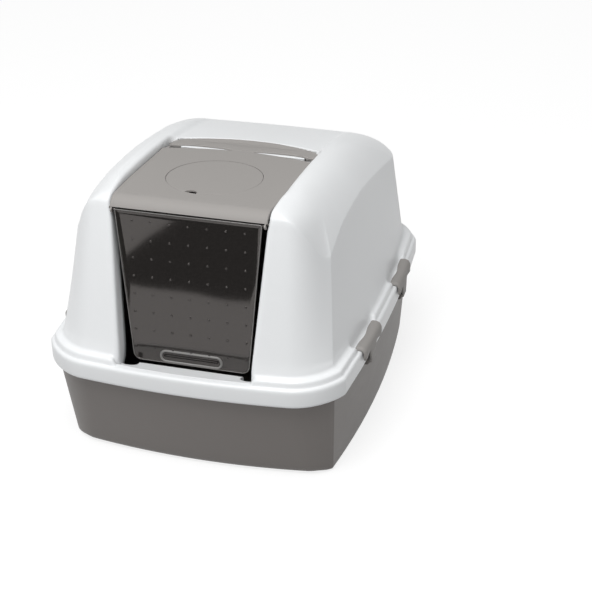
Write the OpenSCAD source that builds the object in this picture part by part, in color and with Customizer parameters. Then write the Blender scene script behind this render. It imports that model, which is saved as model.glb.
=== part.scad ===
/* [Rim] */
// Width over the rim of the hood
rim_w = 465; // [420:1:520]
// Length over the rim of the hood
rim_l = 574; // [520:1:640]
// Outward bow of the long sides, from corner to middle
side_bow = 13; // [4:0.5:18]
// Outward bow of the front and back, from corner to middle
end_bow = 18; // [6:0.5:24]
// Corner radius of the rim in plan
rim_r = 70; // [55:1:85]
// Angle at which a corner meets the flat side
rim_crease = 20; // [5:1:30]
// The same angle at the hood's rear corners
rear_crease = 6; // [0:1:30]
// Height of the rim's top face above the floor
rim_top = 171.5; // [150:0.5:190]
// Depth of the hood's skirt below the rim's top face
skirt_h = 28.5; // [20:0.5:36]
// Thickness of the moulded walls
wall = 3; // [2:0.1:4]
// Height of the raised ledge on the rim
ledge_h = 9; // [4:0.5:14]

/* [Hood] */
// Inset of the hood's wall foot from the rim's edge
foot_inset = 16; // [12:0.5:22]
// Height of the rail crest above the floor
crest_z = 412; // [380:1:440]
// Drop of the rails per square millimetre behind the crest
crest_fall = 0.00031; // [0.0001:0.00001:0.0005]
// Place of the crest along the length
crest_y = -190; // [-210:1:-150]
// Outward bow of the hood's side walls at their foot, from corner to middle; their tops run straight
hood_bow = 17; // [8:0.5:22]
// How far the front wall leans back, per millimetre of height
front_lean = 0.235; // [0.1:0.005:0.3]
// How far the side walls lean in at the corners, per millimetre of height
side_lean = 0.058; // [0.02:0.002:0.1]
// How far the back wall leans in, per millimetre of height
back_lean = 0.12; // [0.05:0.01:0.3]
// Depth of the channel between the rails
channel_d = 8; // [5:0.5:12]
// Half the width of the channel
channel_hw = 118.8; // [110:0.2:130]

/* [Base pan] */
// Inset of the pan's wall from the rim's edge
pan_inset = 8; // [6:0.5:12]
// Inward taper of the long sides from rim to floor
pan_side_taper = 9; // [4:0.5:20]
// Inward taper of the front wall from rim to floor
pan_front_taper = 37; // [20:1:50]
// Inward taper of the back wall from rim to floor
pan_back_taper = 34; // [20:1:50]
// Corner radius of the pan under the rim
pan_r = 62; // [58:1:66]
// Corner radius of the pan at the floor
pan_low_r = 40; // [25:1:60]
// Angle at which the pan's corner meets its flat side panel
pan_crease = 38; // [20:1:60]
// Outward bow of the pan's sides, from corner to middle
pan_bow = 16; // [8:0.5:22]
// Radius of the pan's lower edge
pan_fillet = 14; // [8:1:20]

/* [Door opening] */
// Half the width of the opening at the sill
open_hw = 97; // [85:0.5:105]
// Half the width of the opening under the hatch
open_top_hw = 113; // [106:0.5:116]
// Height of the sill's rear edge
sill_z = 157.5; // [150:0.5:165]
// Distance of the sill's rear edge in front of the centre
sill_y = 243; // [235:0.5:255]
// Depth of the jambs beside the door
jamb_d = 34; // [20:1:45]
// Radius of the round cut-outs at the sill's ends
keyhole_r = 9; // [5:0.5:12]

/* [Hatch] */
// Distance of the hatch's front edge in front of the centre
hatch_front = 219; // [210:0.5:228]
// Height of the hatch's front edge
hatch_front_z = 408.5; // [395:0.5:412]
// Slope of the hatch down to the back, in degrees
hatch_slope = 4.5; // [1:0.1:6]
// Half the width of the hatch at its front edge
hatch_front_hw = 114; // [108:0.5:117]
// Half the width of the hatch at its hinge
hatch_rear_hw = 117.5; // [112:0.5:118]
// Length of the hatch to the middle of its rear edge
hatch_len = 232; // [215:1:240]
// Backward bow of the hatch's rear edge
hatch_bow = 17; // [8:0.5:22]
// Thickness of the hatch
hatch_t = 2.6; // [2:0.1:4]
// Radius of the hatch's rounded front
nose_r = 22; // [12:0.5:30]
// Depth of the lip over the door
lip_h = 14.5; // [10:0.5:20]
// Radius of the hatch's hinge pins
hinge_pin_r = 2.5; // [1.5:0.1:3.5]

/* [Filter] */
// Radius of the round filter cover
cover_r = 69.5; // [60:0.5:72]
// Thickness of the filter cover
cover_t = 2.4; // [1.6:0.1:3.2]
// Distance of the cover's centre behind the hatch's front edge
cover_y = 116; // [105:1:125]
// Width of the seat that carries the cover
cover_seat = 3; // [2:0.25:5]
// Half the width of the finger notch in the cover
notch_hw = 9; // [6:0.5:12]
// Turn of the finger notch from the front, in degrees
notch_turn = 10; // [0:1:30]
// Width of the filter cartridge
filter_w = 66; // [50:1:72]
// Length of the filter cartridge
filter_l = 110; // [90:1:114]
// Height of the filter cartridge
filter_h = 10; // [6:0.5:14]
// Width of the cartridge's border
filter_border = 6; // [4:0.5:10]
// Thickness of the cage's walls
cage_t = 2; // [1.5:0.1:3]

/* [Swing door] */
// Radius of the door's pivot pins
door_pin_r = 2; // [1.5:0.1:2.5]
// Distance of the door's pivot in front of the centre
door_y = 217; // [212:0.5:219]
// Height of the door's pivot
door_z = 390; // [386:0.5:390.5]
// Length of the door below its pivot
door_len = 227.5; // [200:0.5:228]
// Half the width of the door at its pivot
door_hw = 107.5; // [100:0.5:108]
// Half the width of the door at its lower edge
door_low_hw = 88; // [75:0.5:92]
// Thickness of the door
door_t = 2.4; // [1.8:0.1:3.2]
// Radius of the door's lower corners
door_corner_r = 12; // [6:1:20]
// Forward tilt of the hanging door, in degrees
door_tilt = 4.7; // [0:0.1:6]
// Length of the pull on the door
pull_l = 92; // [70:1:110]
// Height of the pull on the door
pull_h = 17; // [12:1:21]
// Height of the pull's centre above the door's lower edge
pull_up = 11; // [11:0.5:24]

/* [Carrying handle] */
// Distance of the handle's pivot behind the centre
handle_y = 30; // [26:0.5:36]
// Height of the handle's pivot
handle_z = 381; // [377:0.5:384]
// Half the width of the handle
handle_hw = 116; // [108:0.5:117]
// Reach of the handle's grip behind its pivot
handle_reach = 40; // [34:0.5:46]
// Bow of the handle's rear edge
handle_bow = 31; // [20:1:36]
// Thickness of the handle
handle_t = 6; // [4:0.5:8]
// Radius of the handle's pivot pins
handle_pin_r = 3; // [2:0.1:3.5]

/* [Clips] */
// Length of a clip along the rim
clip_l = 85; // [60:1:95]
// Distance between the clips of one side
clip_pitch = 202; // [160:1:230]
// Place of the middle of each pair of clips along the length
clip_mid = -6; // [-20:1:20]
// Thickness of a clip
clip_t = 3.6; // [2.5:0.1:5]
// Radius of a clip's pivot pins
clip_pin_r = 2; // [1.5:0.1:2.5]
// Height of a clip's pivot below the skirt's lower edge
clip_drop = 5.6; // [5:0.2:8]

/* [Fits] */
// Gap between a running pin and its bore, on the radius
pin_fit = 0.05; // [0.02:0.01:0.1]
// Gap between pieces that lie on each other
seat_gap = 0.2; // [0.1:0.05:0.3]
// Gap round moving pieces
move_gap = 0.8; // [0.4:0.1:1.5]

/* [Hidden] */
$fn = 64;

white = [0.93, 0.95, 0.95];
warm_grey = [0.42, 0.4, 0.38];
hatch_grey = [0.6, 0.59, 0.57];
smoke = [0.25, 0.24, 0.23];

// Plan outline: a rounded rectangle whose sides and ends bow outwards.
side_steps = 8;
end_steps = 8;
arc_steps = 6;
corner_hx = rim_w / 2 - side_bow;
corner_hy = rim_l / 2 - end_bow;
ring_n = 2 * side_steps + 2 * end_steps + 4 * arc_steps;

// The quarter outline from the middle of the side round to the middle of the end. The third value of a point
// runs from 0 on the side to 90 on the end and says how much of each it takes part in.
function quarter(hx, hy, r, crease) = concat(
  [for (i = [0:side_steps / 2 - 1]) [hx, (hy - r + r * sin(crease)) * i / (side_steps / 2), 0]],
  [for (i = [0:arc_steps]) let (a = crease + (90 - crease) * i / arc_steps)
    [hx - r * cos(crease) + r * cos(a), hy - r + r * sin(a), 90 * i / arc_steps]],
  [for (i = [1:end_steps / 2]) [(hx - r * cos(crease)) * (1 - i / (end_steps / 2)), hy, 90]]);

function backwards(list) = [for (i = [len(list) - 1:-1:0]) list[i]];
function mirror_x(list) = [for (p = list) [-p[0], p[1], 180 - p[2]]];
function mirror_y(list) = [for (p = list) [p[0], -p[1], -p[2]]];
function drop_ends(list) = [for (i = [1:len(list) - 2]) list[i]];
function drop_first(list) = [for (i = [1:len(list) - 1]) list[i]];

// A full ring, counter-clockwise seen from above.
function ring(hx, front, back, r, crease, bow, back_bow = end_bow, back_crease = undef) =
  let (mid = (back - front) / 2, hy = (back + front) / 2, q = quarter(hx, hy, r, crease),
    b = is_undef(back_crease) ? q : quarter(hx, hy, r, back_crease),
    half = concat(b, drop_first(backwards(mirror_x(b)))), front_half = concat(q, drop_first(backwards(mirror_x(q)))),
    full = concat(half, drop_ends(backwards(mirror_y(front_half)))))
  [for (p = full) let (bow_x = bow * (1 - pow(p[1] / hy, 2)) * min(1, abs(p[0]) / hx),
      bow_y = (p[1] > 0 ? back_bow : end_bow) * (1 - pow(p[0] / hx, 2)) * min(1, abs(p[1]) / hy))
    [p[0] + sign(p[0]) * bow_x, p[1] + sign(p[1]) * bow_y + mid, p[2]]];

function lift(points, z) = [for (p = points) [p[0], p[1], z]];
function plan(inset) = ring(corner_hx - inset, corner_hy - inset, corner_hy - inset, rim_r - inset, rim_crease, side_bow);
function wall_plan(inset) = ring(rim_w / 2 - hood_bow - inset, corner_hy - inset, corner_hy - inset, rim_r - inset,
  rim_crease, hood_bow, end_bow, rear_crease);

// A closed skin over a stack of rings, with a point at each end.
module loft(rings, first, last) {
  n = len(rings[0]);
  m = len(rings);
  points = concat([for (r = rings) each r], [first, last]);
  a = n * m;
  b = a + 1;
  faces = concat(
    [for (j = [0:m - 2], i = [0:n - 1]) let (k = (i + 1) % n) [j * n + i, j * n + k, (j + 1) * n + k]],
    [for (j = [0:m - 2], i = [0:n - 1]) let (k = (i + 1) % n) [j * n + i, (j + 1) * n + k, (j + 1) * n + i]],
    [for (i = [0:n - 1]) let (k = (i + 1) % n) [a, k, i]],
    [for (i = [0:n - 1]) let (k = (i + 1) % n) [b, (m - 1) * n + i, (m - 1) * n + k]]);
  polyhedron(points, faces, convexity = 8);
}

// A closed skin over rings that run back into themselves.
module loop(rings) {
  n = len(rings[0]);
  m = len(rings);
  faces = concat(
    [for (j = [0:m - 1], i = [0:n - 1]) let (k = (i + 1) % n, l = (j + 1) % m) [j * n + i, j * n + k, l * n + k]],
    [for (j = [0:m - 1], i = [0:n - 1]) let (k = (i + 1) % n, l = (j + 1) % m) [j * n + i, l * n + k, l * n + i]]);
  polyhedron([for (r = rings) each r], faces, convexity = 8);
}

// Rail crest height along the length.
function crest(y) = crest_z - crest_fall * pow(max(0, y - crest_y), 2);

// Width and height of the hood's shoulder on its sides, front and back.
side_rh = 58;
side_rv = 45;
front_rh = 24;
front_rv = 20;
back_rh = 140;
back_rv = 47;
shoulder_start = 15;
// The front and back turn over on an ellipse. The sides turn over on a parabola, which ends this flat.
side_curl = 0.8;
// The crease between corner and side fades out over the first third of the shoulder.
crease_fade = 3;
// The sides' shoulder gets higher towards the front: evenly from the middle, and faster from the bend on.
rise_slope = 0.1;
rise_bend_y = -71;
rise_reach = 110;
rise_power = 2.4;
front_rise = 24.5;
function side_rise(y) = side_rv + rise_slope * max(0, -y)
  + front_rise * pow(max(0, rise_bend_y - y) / rise_reach, rise_power);
function blend(a, front, side, back) =
  front * pow(max(0, -sin(a)), 2) + side * pow(cos(a), 2) + back * pow(max(0, sin(a)), 2);

wall_foot_z = rim_top + ledge_h + 5;
side_run = crest_z - side_rv - wall_foot_z;
front_run = crest_z - front_rv - wall_foot_z;
back_run = 55;

// One ring of the hood: in is the wall's thickness inwards, u climbs the wall, t turns over the shoulder.
function hood_ring(in, u, t) =
  let (c = cos(shoulder_start) - cos(max(t, shoulder_start)), s = foot_inset + in,
    turn = 1 - sin(max(t, shoulder_start)), share = c / cos(shoulder_start),
    bend = (1 - share) * (1 - side_curl * share),
    plan_ring = ring(rim_w / 2 - hood_bow - s - u * side_run * side_lean - side_rh * c,
      corner_hy - s - u * front_run * front_lean - front_rh * c,
      corner_hy - s - u * back_run * back_lean - back_rh * c, rim_r - s,
      rim_crease * max(0, 1 - crease_fade * share), hood_bow * (1 - u),
      end_bow * (1 - 0.8 * c), rear_crease))
  [for (p = plan_ring) let (side_turn = turn + (bend - turn) * pow(cos(p[2]), 2),
      drop = blend(p[2], front_rv * turn, side_rise(p[1]) * side_turn, back_rv * turn),
      shoulder = crest(p[1]) - in - drop)
    [p[0], p[1], u < 1 ? wall_foot_z + u * (shoulder - wall_foot_z) : shoulder]];

spine_y = -40;
function hood_cap(in, s) = [for (p = hood_ring(in, 1, 90)) let (y = spine_y + (p[1] - spine_y) * s)
  [p[0] * s, y, crest(y) - in]];

hood_outer = concat(
  [for (s = [0.3, 0.65]) hood_cap(0, s)],
  [for (t = [90, 72, 54, 38, 26, shoulder_start]) hood_ring(0, 1, t)],
  [for (u = [0.7, 0.35, 0]) hood_ring(0, u, 0)],
  [lift(wall_plan(foot_inset - 1.5), rim_top + 2),
   lift(wall_plan(foot_inset - 3), rim_top),
   lift(plan(3.5), rim_top),
   lift(plan(1), rim_top - 1.2),
   lift(plan(0), rim_top - 4),
   lift(plan(0), rim_top - skirt_h)]);
hood_inner = concat(
  [lift(plan(wall), rim_top - skirt_h),
   lift(plan(wall), rim_top - wall),
   lift(wall_plan(foot_inset + wall), rim_top - wall)],
  [for (u = [0, 0.5]) hood_ring(wall, u, 0)],
  [for (t = [shoulder_start, 34, 50, 68, 90]) hood_ring(wall, 1, t)],
  [hood_cap(wall, 0.5)]);

module hood_shell() {
  loft(concat(hood_outer, hood_inner), [0, spine_y, crest(spine_y)], [0, spine_y, crest(spine_y) - wall]);
}

// The hood's outer form, drawn in by half a wall: ribs are trimmed to it so that none comes through.
module rib_space() {
  loft(concat([hood_cap(wall / 2, 0.5)], [for (t = [90, 60, 36, shoulder_start]) hood_ring(wall / 2, 1, t)],
    [hood_ring(wall / 2, 0.5, 0), hood_ring(wall / 2, 0, 0), lift(wall_plan(foot_inset + wall / 2), rim_top - wall),
     lift(plan(wall / 2), rim_top - wall / 2), lift(plan(wall / 2), rim_top - skirt_h)]),
    [0, spine_y, crest(spine_y) - wall / 2], [0, 0, rim_top - skirt_h]);
}

// The raised ledge round the rim, open at the sill and at the clips.
module ledge() {
  lo = rim_top - wall / 2;
  hi = rim_top + ledge_h;
  difference() {
    loop([lift(wall_plan(foot_inset + wall / 2), lo),
      lift(wall_plan(foot_inset + wall / 2), hi + 5),
      lift(wall_plan(foot_inset - 0.5), hi + 5),
      lift(wall_plan(foot_inset - 2), hi + 1),
      lift(wall_plan(foot_inset - 4.5), hi),
      lift(plan(7.5), hi),
      lift(plan(5.5), hi - 2.5),
      lift(plan(4.5), lo)]);
    translate([-open_hw - 3, -rim_l / 2 - 1, lo - 1]) cube([2 * open_hw + 6, 60, ledge_h + 10]);
    for (s = [-1, 1], c = [-1, 1])
      translate([s * (rim_w / 2 - foot_inset + 8), clip_mid + c * clip_pitch / 2, rim_top + 10])
        cube([16, clip_l + 2 * move_gap, 20], center = true);
  }
}

// Height of the channel's floor.
function channel(y) = crest(y) - channel_d;
channel_front = 20;
channel_back = 178;
// The channel's profile as [y, z] points, and a strip between two such profiles.
function profile(front, back, up) = [for (i = [0:10]) let (y = front + (back - front) * i / 10) [y, channel(y) + up]];
function strip(front, back, top, bottom) = concat(profile(front, back, top), backwards(profile(front, back, bottom)));

// Extrudes an outline given as [y, z] points along X, between two places.
module along_x(from, to) {
  translate([from, 0, 0]) rotate([90, 0, 90]) linear_extrude(to - from) children();
}

sill_top = rim_top - 3;
step_z = hatch_front_z - 26;
jamb_step = 0.5;
// Distance of the jamb's foot in front of the sill's rear edge
jamb_foot = 24;
jamb_angle = atan((open_top_hw - open_hw) / (step_z - sill_top));
function front_wall(z) = -(corner_hy + end_bow * (1 - pow(open_hw / corner_hx, 2)) - foot_inset)
  + front_lean * (z - wall_foot_z);

module jamb() {
  lo = sill_z - wall;
  hi = step_z - 1;
  translate([open_hw - jamb_step, 0, sill_top]) rotate([0, jamb_angle, 0]) translate([0, 0, -sill_top])
    along_x(0, wall) polygon([[-sill_y - jamb_foot, lo], [front_wall(sill_top) + 1, sill_top],
      [front_wall(hi) + 2, hi], [front_wall(hi) + 14, hi], [front_wall(lo) + jamb_d, lo]]);
}

module opening_cut() {
  rotate([90, 0, 0]) linear_extrude(rim_l / 2 + 10)
    polygon([[-open_hw, sill_top], [open_hw, sill_top], [open_top_hw, step_z], [channel_hw, step_z],
      [channel_hw, crest_z + 10], [-channel_hw, crest_z + 10], [-channel_hw, step_z], [-open_top_hw, step_z]]);
}

// The sill in front of the door: level on the skirt, then sloping down into the pan.
sill_front = -rim_l / 2 + 11;
module sill() {
  difference() {
    intersection() {
      along_x(-open_hw - wall, open_hw + wall)
        polygon([[-rim_l / 2 - 1, sill_top], [sill_front, sill_top], [-sill_y, sill_z], [-sill_y, sill_z - 8],
          [-sill_y - wall, sill_z - 8], [-sill_y - wall, sill_z - 2], [sill_front, sill_top - wall],
          [-rim_l / 2 - 1, sill_top - wall]]);
      linear_extrude(2 * rim_top) polygon([for (p = plan(wall / 2)) [p[0], p[1]]]);
    }
    for (s = [-1, 1]) translate([s * (open_hw - keyhole_r), -sill_y - 16, sill_z - 20])
      cylinder(r = keyhole_r, h = 60);
  }
}

// Pocket for the carrying handle, open at the top.
pocket_floor = 366;
handle_rear_r = (pow(handle_hw + 3, 2) + pow(handle_bow, 2)) / (2 * handle_bow);
handle_rear_y = handle_y + handle_reach;
module handle_plan(grow) {
  intersection() {
    translate([0, handle_rear_y - handle_rear_r]) circle(handle_rear_r + grow);
    translate([-handle_hw - grow, channel_front - grow])
      square([2 * (handle_hw + grow), handle_rear_y - channel_front + 3 * grow + 2]);
  }
}

boss_l = 8;
hinge_y = channel_front - 10;
hinge_z = 383;
// Drop of the pocket's front wall below the hatch's pivots, so that the opened hatch clears it
pocket_drop = 1.4;
module hood() color(white) {
  difference() {
    union() {
      difference() {
        hood_shell();
        opening_cut();
        along_x(-channel_hw, channel_hw) polygon(strip(-20, channel_back, 0, 60));
      }
      ledge();
      sill();
      intersection() {
        rib_space();
        union() {
          for (s = [0, 1]) mirror([s, 0, 0]) {
            jamb();
            // inner wall of the rail
            along_x(channel_hw, channel_hw + wall)
              polygon(strip(-170, channel_back + 20, channel_d + 3, -wall));
            // bosses for the hatch and handle pivots
            translate([channel_hw, hinge_y, hinge_z]) rotate([0, 90, 0]) cylinder(r = 6, h = boss_l);
            translate([channel_hw, handle_y, handle_z]) rotate([0, 90, 0]) cylinder(r = 7, h = boss_l);
          }
          // floor of the channel
          along_x(-channel_hw - 1, channel_hw + 1) polygon(strip(channel_front, channel_back + 20, 0, -wall));
          translate([0, 0, pocket_floor - wall]) linear_extrude(channel(handle_rear_y) - pocket_floor + wall)
            handle_plan(move_gap + wall);
        }
      }
    }
    translate([0, 0, pocket_floor]) linear_extrude(60) handle_plan(move_gap);
    translate([-channel_hw, hinge_y, hinge_z - pocket_drop])
      cube([2 * channel_hw, channel_front - hinge_y, crest_z - hinge_z]);
    for (s = [-1, 1]) {
      translate([s * (channel_hw + boss_l / 2 - 2), hinge_y, hinge_z]) rotate([0, 90, 0])
        cylinder(r = hinge_pin_r + pin_fit, h = boss_l, center = true);
      translate([s * (channel_hw + boss_l / 2 - 2), handle_y, handle_z]) rotate([0, 90, 0])
        cylinder(r = handle_pin_r + pin_fit, h = boss_l, center = true);
    }
  }
}

// The pan's wall ring at a depth below the rim, with the wall's thickness inwards.
pan_top = rim_top - wall - seat_gap;
wall_top = rim_top - skirt_h;
function pan_ring(in, z) =
  let (t = max(0, (wall_top - z) / wall_top), s = pan_inset + in)
  lift(ring(rim_w / 2 - pan_bow - s - pan_side_taper * t, corner_hy - s - pan_front_taper * t,
    corner_hy - s - pan_back_taper * t, pan_r + (pan_low_r - pan_r) * t - in, pan_crease, pan_bow), z);
function pan_foot(in, a) = pan_ring(in + pan_fillet * (1 - cos(a)), pan_fillet * (1 - sin(a)));
function floor_foot(a) = [for (p = pan_foot(wall + 2, a)) [p[0], p[1], p[2] + wall]];
flange_inset = wall + 1;

clip_z = wall_top - clip_drop;
clip_x = rim_w / 2 - side_bow * pow((clip_pitch / 2) / corner_hy, 2) - 2.5;
clip_turn = atan(2 * side_bow * (clip_pitch / 2) / pow(corner_hy, 2));
knuckle_r = 4.4;
knuckle_hw = 11;
lug_t = 4;

// Places its children at a clip's pivot, with X outwards and Y along the rim.
module at_clip(side, place) {
  mirror([side < 0 ? 1 : 0, 0, 0]) translate([clip_x, clip_mid + place * clip_pitch / 2, clip_z])
    rotate([0, 0, place * clip_turn]) children();
}

module base_pan() color(warm_grey) {
  difference() {
    union() {
      loft(concat(
        [floor_foot(90), floor_foot(60), floor_foot(30), floor_foot(0)],
        [pan_ring(wall, wall_top - 60), pan_ring(wall, wall_top), pan_ring(wall, pan_top),
         lift(plan(flange_inset), pan_top),
         lift(plan(flange_inset), pan_top - wall),
         pan_ring(0, pan_top - wall), pan_ring(0, wall_top), pan_ring(0, wall_top - 60)],
        [pan_foot(0, 0), pan_foot(0, 30), pan_foot(0, 60), pan_foot(0, 90)]),
        [0, 0, wall], [0, 0, 0]);
      for (side = [-1, 1], place = [-1, 1], end = [-1, 1])
        at_clip(side, place) translate([0, end * (knuckle_hw + move_gap / 2 + lug_t / 2), 0]) clip_lug();
    }
    // lowered front under the sill
    translate([-open_hw - 6, -rim_l / 2, sill_top - 2 * wall]) cube([2 * open_hw + 12, 60, 20]);
    for (side = [-1, 1], place = [-1, 1])
      at_clip(side, place) rotate([90, 0, 0])
        cylinder(r = clip_pin_r + pin_fit, h = 2 * (knuckle_hw + lug_t + move_gap) + 2, center = true);
  }
}

module clip_lug() {
  rotate([90, 0, 0]) linear_extrude(lug_t, center = true) union() {
    circle(knuckle_r - 0.4);
    translate([-12, -knuckle_r + 0.4]) square([12, 2 * (knuckle_r - 0.4)]);
  }
}

// One clip, built at its pivot: X points outwards, Y along the rim.
module clip_body() {
  top = rim_top - clip_z + seat_gap;
  out = rim_w / 2 - side_bow * pow((clip_pitch / 2) / corner_hy, 2) - clip_x + move_gap + 0.7;
  in = -(foot_inset - 4 - (rim_w / 2 - side_bow * pow((clip_pitch / 2) / corner_hy, 2) - clip_x));
  rotate([90, 0, 0]) linear_extrude(clip_l, center = true)
    polygon([[in, top], [in, top + clip_t], [in + 2, top + clip_t + 1], [out - 2, top + clip_t], [out + clip_t, top - 1],
      [out + clip_t, top - 16], [out + 0.4, top - 17], [out, top - 3], [out - 3, top]]);
  rotate([90, 0, 0]) linear_extrude(2 * knuckle_hw, center = true) union() {
    circle(knuckle_r);
    polygon([[0, -knuckle_r], [out + clip_t - 1, -knuckle_r + 3], [out + clip_t, 2], [out + clip_t, top - 14],
      [out + 0.4, top - 14], [out + 0.2, 2], [knuckle_r - 1, 1]]);
  }
  rotate([90, 0, 0]) cylinder(r = clip_pin_r, h = 2 * (knuckle_hw + lug_t), center = true);
}

module clip_front_right() color(hatch_grey) at_clip(1, -1) clip_body();
module clip_rear_right() color(hatch_grey) at_clip(1, 1) clip_body();
module clip_front_left() color(hatch_grey) at_clip(-1, -1) clip_body();
module clip_rear_left() color(hatch_grey) at_clip(-1, 1) clip_body();

// The hatch's own frame: Y runs back from the front edge along its flat top, Z is square to it.
module on_hatch() {
  translate([0, -hatch_front, hatch_front_z]) rotate([-hatch_slope, 0, 0]) children();
}

hatch_rear_r = (pow(hatch_rear_hw, 2) + pow(hatch_bow, 2)) / (2 * hatch_bow);
flange_h = 10;
hinge_local_y = (hinge_y + hatch_front) * cos(hatch_slope) - (hinge_z - hatch_front_z) * sin(hatch_slope);
hinge_local_z = (hinge_y + hatch_front) * sin(hatch_slope) + (hinge_z - hatch_front_z) * cos(hatch_slope);
door_local_y = (-door_y + hatch_front) * cos(hatch_slope) - (door_z - hatch_front_z) * sin(hatch_slope);
door_local_z = (-door_y + hatch_front) * sin(hatch_slope) + (door_z - hatch_front_z) * cos(hatch_slope);

module hatch_plan() {
  intersection() {
    polygon([[-hatch_front_hw, 0], [hatch_front_hw, 0], [hatch_rear_hw, hatch_len / 3], [hatch_rear_hw, hatch_len],
      [-hatch_rear_hw, hatch_len], [-hatch_rear_hw, hatch_len / 3]]);
    translate([0, hatch_len - hatch_rear_r]) circle(hatch_rear_r, $fn = 180);
  }
}

// The hatch's section as [y, z] points: a flat top that rounds over into the lip.
nose_steps = 10;
nose_end = asin(1 - lip_h / nose_r);
function nose(r) = [for (i = [0:nose_steps]) let (a = 180 - nose_end - (90 - nose_end) * i / nose_steps)
  [nose_r + r * cos(a), -nose_r + r * sin(a)]];
arm_t = 4;
ear_r = 5;
module hatch() color(hatch_grey) on_hatch() difference() {
  union() {
    intersection() {
      along_x(-hatch_rear_hw, hatch_rear_hw) polygon(concat(nose(nose_r), [[hatch_len, 0], [hatch_len, -hatch_t]],
        backwards(nose(nose_r - hatch_t))));
      translate([0, 0, -40]) linear_extrude(50) hatch_plan();
    }
    for (s = [-1, 1]) {
      // side flange
      translate([s * (hatch_front_hw - hatch_t) - hatch_t / 2, nose_r - 6, -flange_h])
        cube([hatch_t, hatch_len - hatch_bow - nose_r, flange_h - 1]);
      // arm to the hinge pin
      along_x(s * (hatch_rear_hw - 3 - arm_t / 2) - arm_t / 2, s * (hatch_rear_hw - 3 - arm_t / 2) + arm_t / 2) union() {
        translate([hinge_local_y, hinge_local_z]) circle(5);
        polygon([[hinge_local_y - 38, -1], [hinge_local_y - 38, -flange_h], [hinge_local_y, hinge_local_z - 5],
          [hinge_local_y + 3.5, hinge_local_z + 3.5], [hinge_local_y - 12, -1]]);
      }
      translate([s * (hatch_rear_hw - 4 + 4), hinge_local_y, hinge_local_z]) rotate([0, 90, 0])
        cylinder(r = hinge_pin_r, h = 9, center = true);
      // ear that holds the door's pin
      along_x(s * (hatch_front_hw - 1.9) - 1.6, s * (hatch_front_hw - 1.9) + 1.6) union() {
        translate([door_local_y, door_local_z]) circle(ear_r);
        intersection() {
          polygon(concat(nose(nose_r), [[2 * nose_r, 0], [2 * nose_r, -2 * nose_r], [0, -2 * nose_r]]));
          translate([door_local_y - ear_r, door_local_z]) square([2 * ear_r, 2 * nose_r]);
        }
      }
    }
    // seat ring and cage posts under the cover
    translate([0, cover_y, -hatch_t - 3]) cylinder(r = cover_r + 3, h = 3.5);
  }
  translate([0, cover_y, -cover_t]) cylinder(r = cover_r + 0.3, h = 10);
  translate([0, cover_y, -20]) cylinder(r = cover_r - cover_seat, h = 30);
  for (s = [-1, 1]) translate([s * hatch_front_hw, door_local_y, door_local_z]) rotate([0, 90, 0])
    cylinder(r = door_pin_r + pin_fit, h = 12, center = true);
}

module filter_cover() color(hatch_grey) on_hatch() translate([0, cover_y, 0]) difference() {
  union() {
    translate([0, 0, -cover_t + seat_gap]) cylinder(r = cover_r, h = cover_t - seat_gap);
    translate([0, 0, -cover_t - 3]) difference() {
      cylinder(r = cover_r - cover_seat - 0.3, h = 4);
      translate([0, 0, -1]) cylinder(r = cover_r - cover_seat - 2.3, h = 6);
    }
  }
  rotate([0, 0, -notch_turn]) translate([0, -cover_r + 1, -10]) cylinder(r = notch_hw, h = 20);
}

cage_top = -hatch_t - 3;
cage_h = filter_h + cage_t + 3;
module filter_cage() color(hatch_grey) on_hatch() translate([0, cover_y, cage_top - cage_h]) difference() {
  union() {
    translate([-filter_w / 2 - cage_t - 1, -filter_l / 2 - cage_t - 1, 0])
      cube([filter_w + 2 * cage_t + 2, filter_l + 2 * cage_t + 2, cage_h]);
    translate([0, 0, cage_h - cage_t]) cylinder(r = cover_r + 3, h = cage_t);
  }
  translate([-filter_w / 2 - 1, -filter_l / 2 - 1, cage_t]) cube([filter_w + 2, filter_l + 2, cage_h]);
  for (i = [-3:3], j = [-1, 1]) translate([i * 9, j * filter_l / 4, 0])
    cube([5, filter_l / 2 - 8, 10], center = true);
}

filter_z = cage_top - cage_h + cage_t + seat_gap;
module filter_frame() color(white) on_hatch() translate([0, cover_y, filter_z]) difference() {
  linear_extrude(filter_h) rounded(filter_w, filter_l, 8);
  for (s = [-1, 1]) translate([0, s * (filter_l / 4 - filter_border / 4), -1]) linear_extrude(filter_h + 2) pad_plan(0);
}

pad_w = filter_w - 2 * filter_border;
pad_l = (filter_l - 3 * filter_border) / 2;
module pad_plan(grow) rounded(pad_w + grow, pad_l + grow, 3);
module rounded(w, l, r) {
  union() {
    square([w - 2 * r, l], center = true);
    square([w, l - 2 * r], center = true);
    for (x = [-1, 1], y = [-1, 1]) translate([x * (w / 2 - r), y * (l / 2 - r)]) circle(r);
  }
}
module pad(s) on_hatch() translate([0, cover_y + s * (filter_l / 4 - filter_border / 4), filter_z + 1])
  linear_extrude(filter_h - 2) pad_plan(-0.5);
module carbon_pad() color([0.6, 0.62, 0.64]) pad(1);
module zeolite_pad() color([0.8, 0.68, 0.62]) pad(-1);

// The door's own frame: the pivot is the origin, X is across, Z is up.
module on_door() {
  translate([0, -door_y, door_z]) rotate([-door_tilt, 0, 0]) children();
}
module slot(l, h) {
  union() {
    square([l - h, h], center = true);
    for (s = [-1, 1]) translate([s * (l - h) / 2, 0]) circle(h / 2);
  }
}
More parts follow.
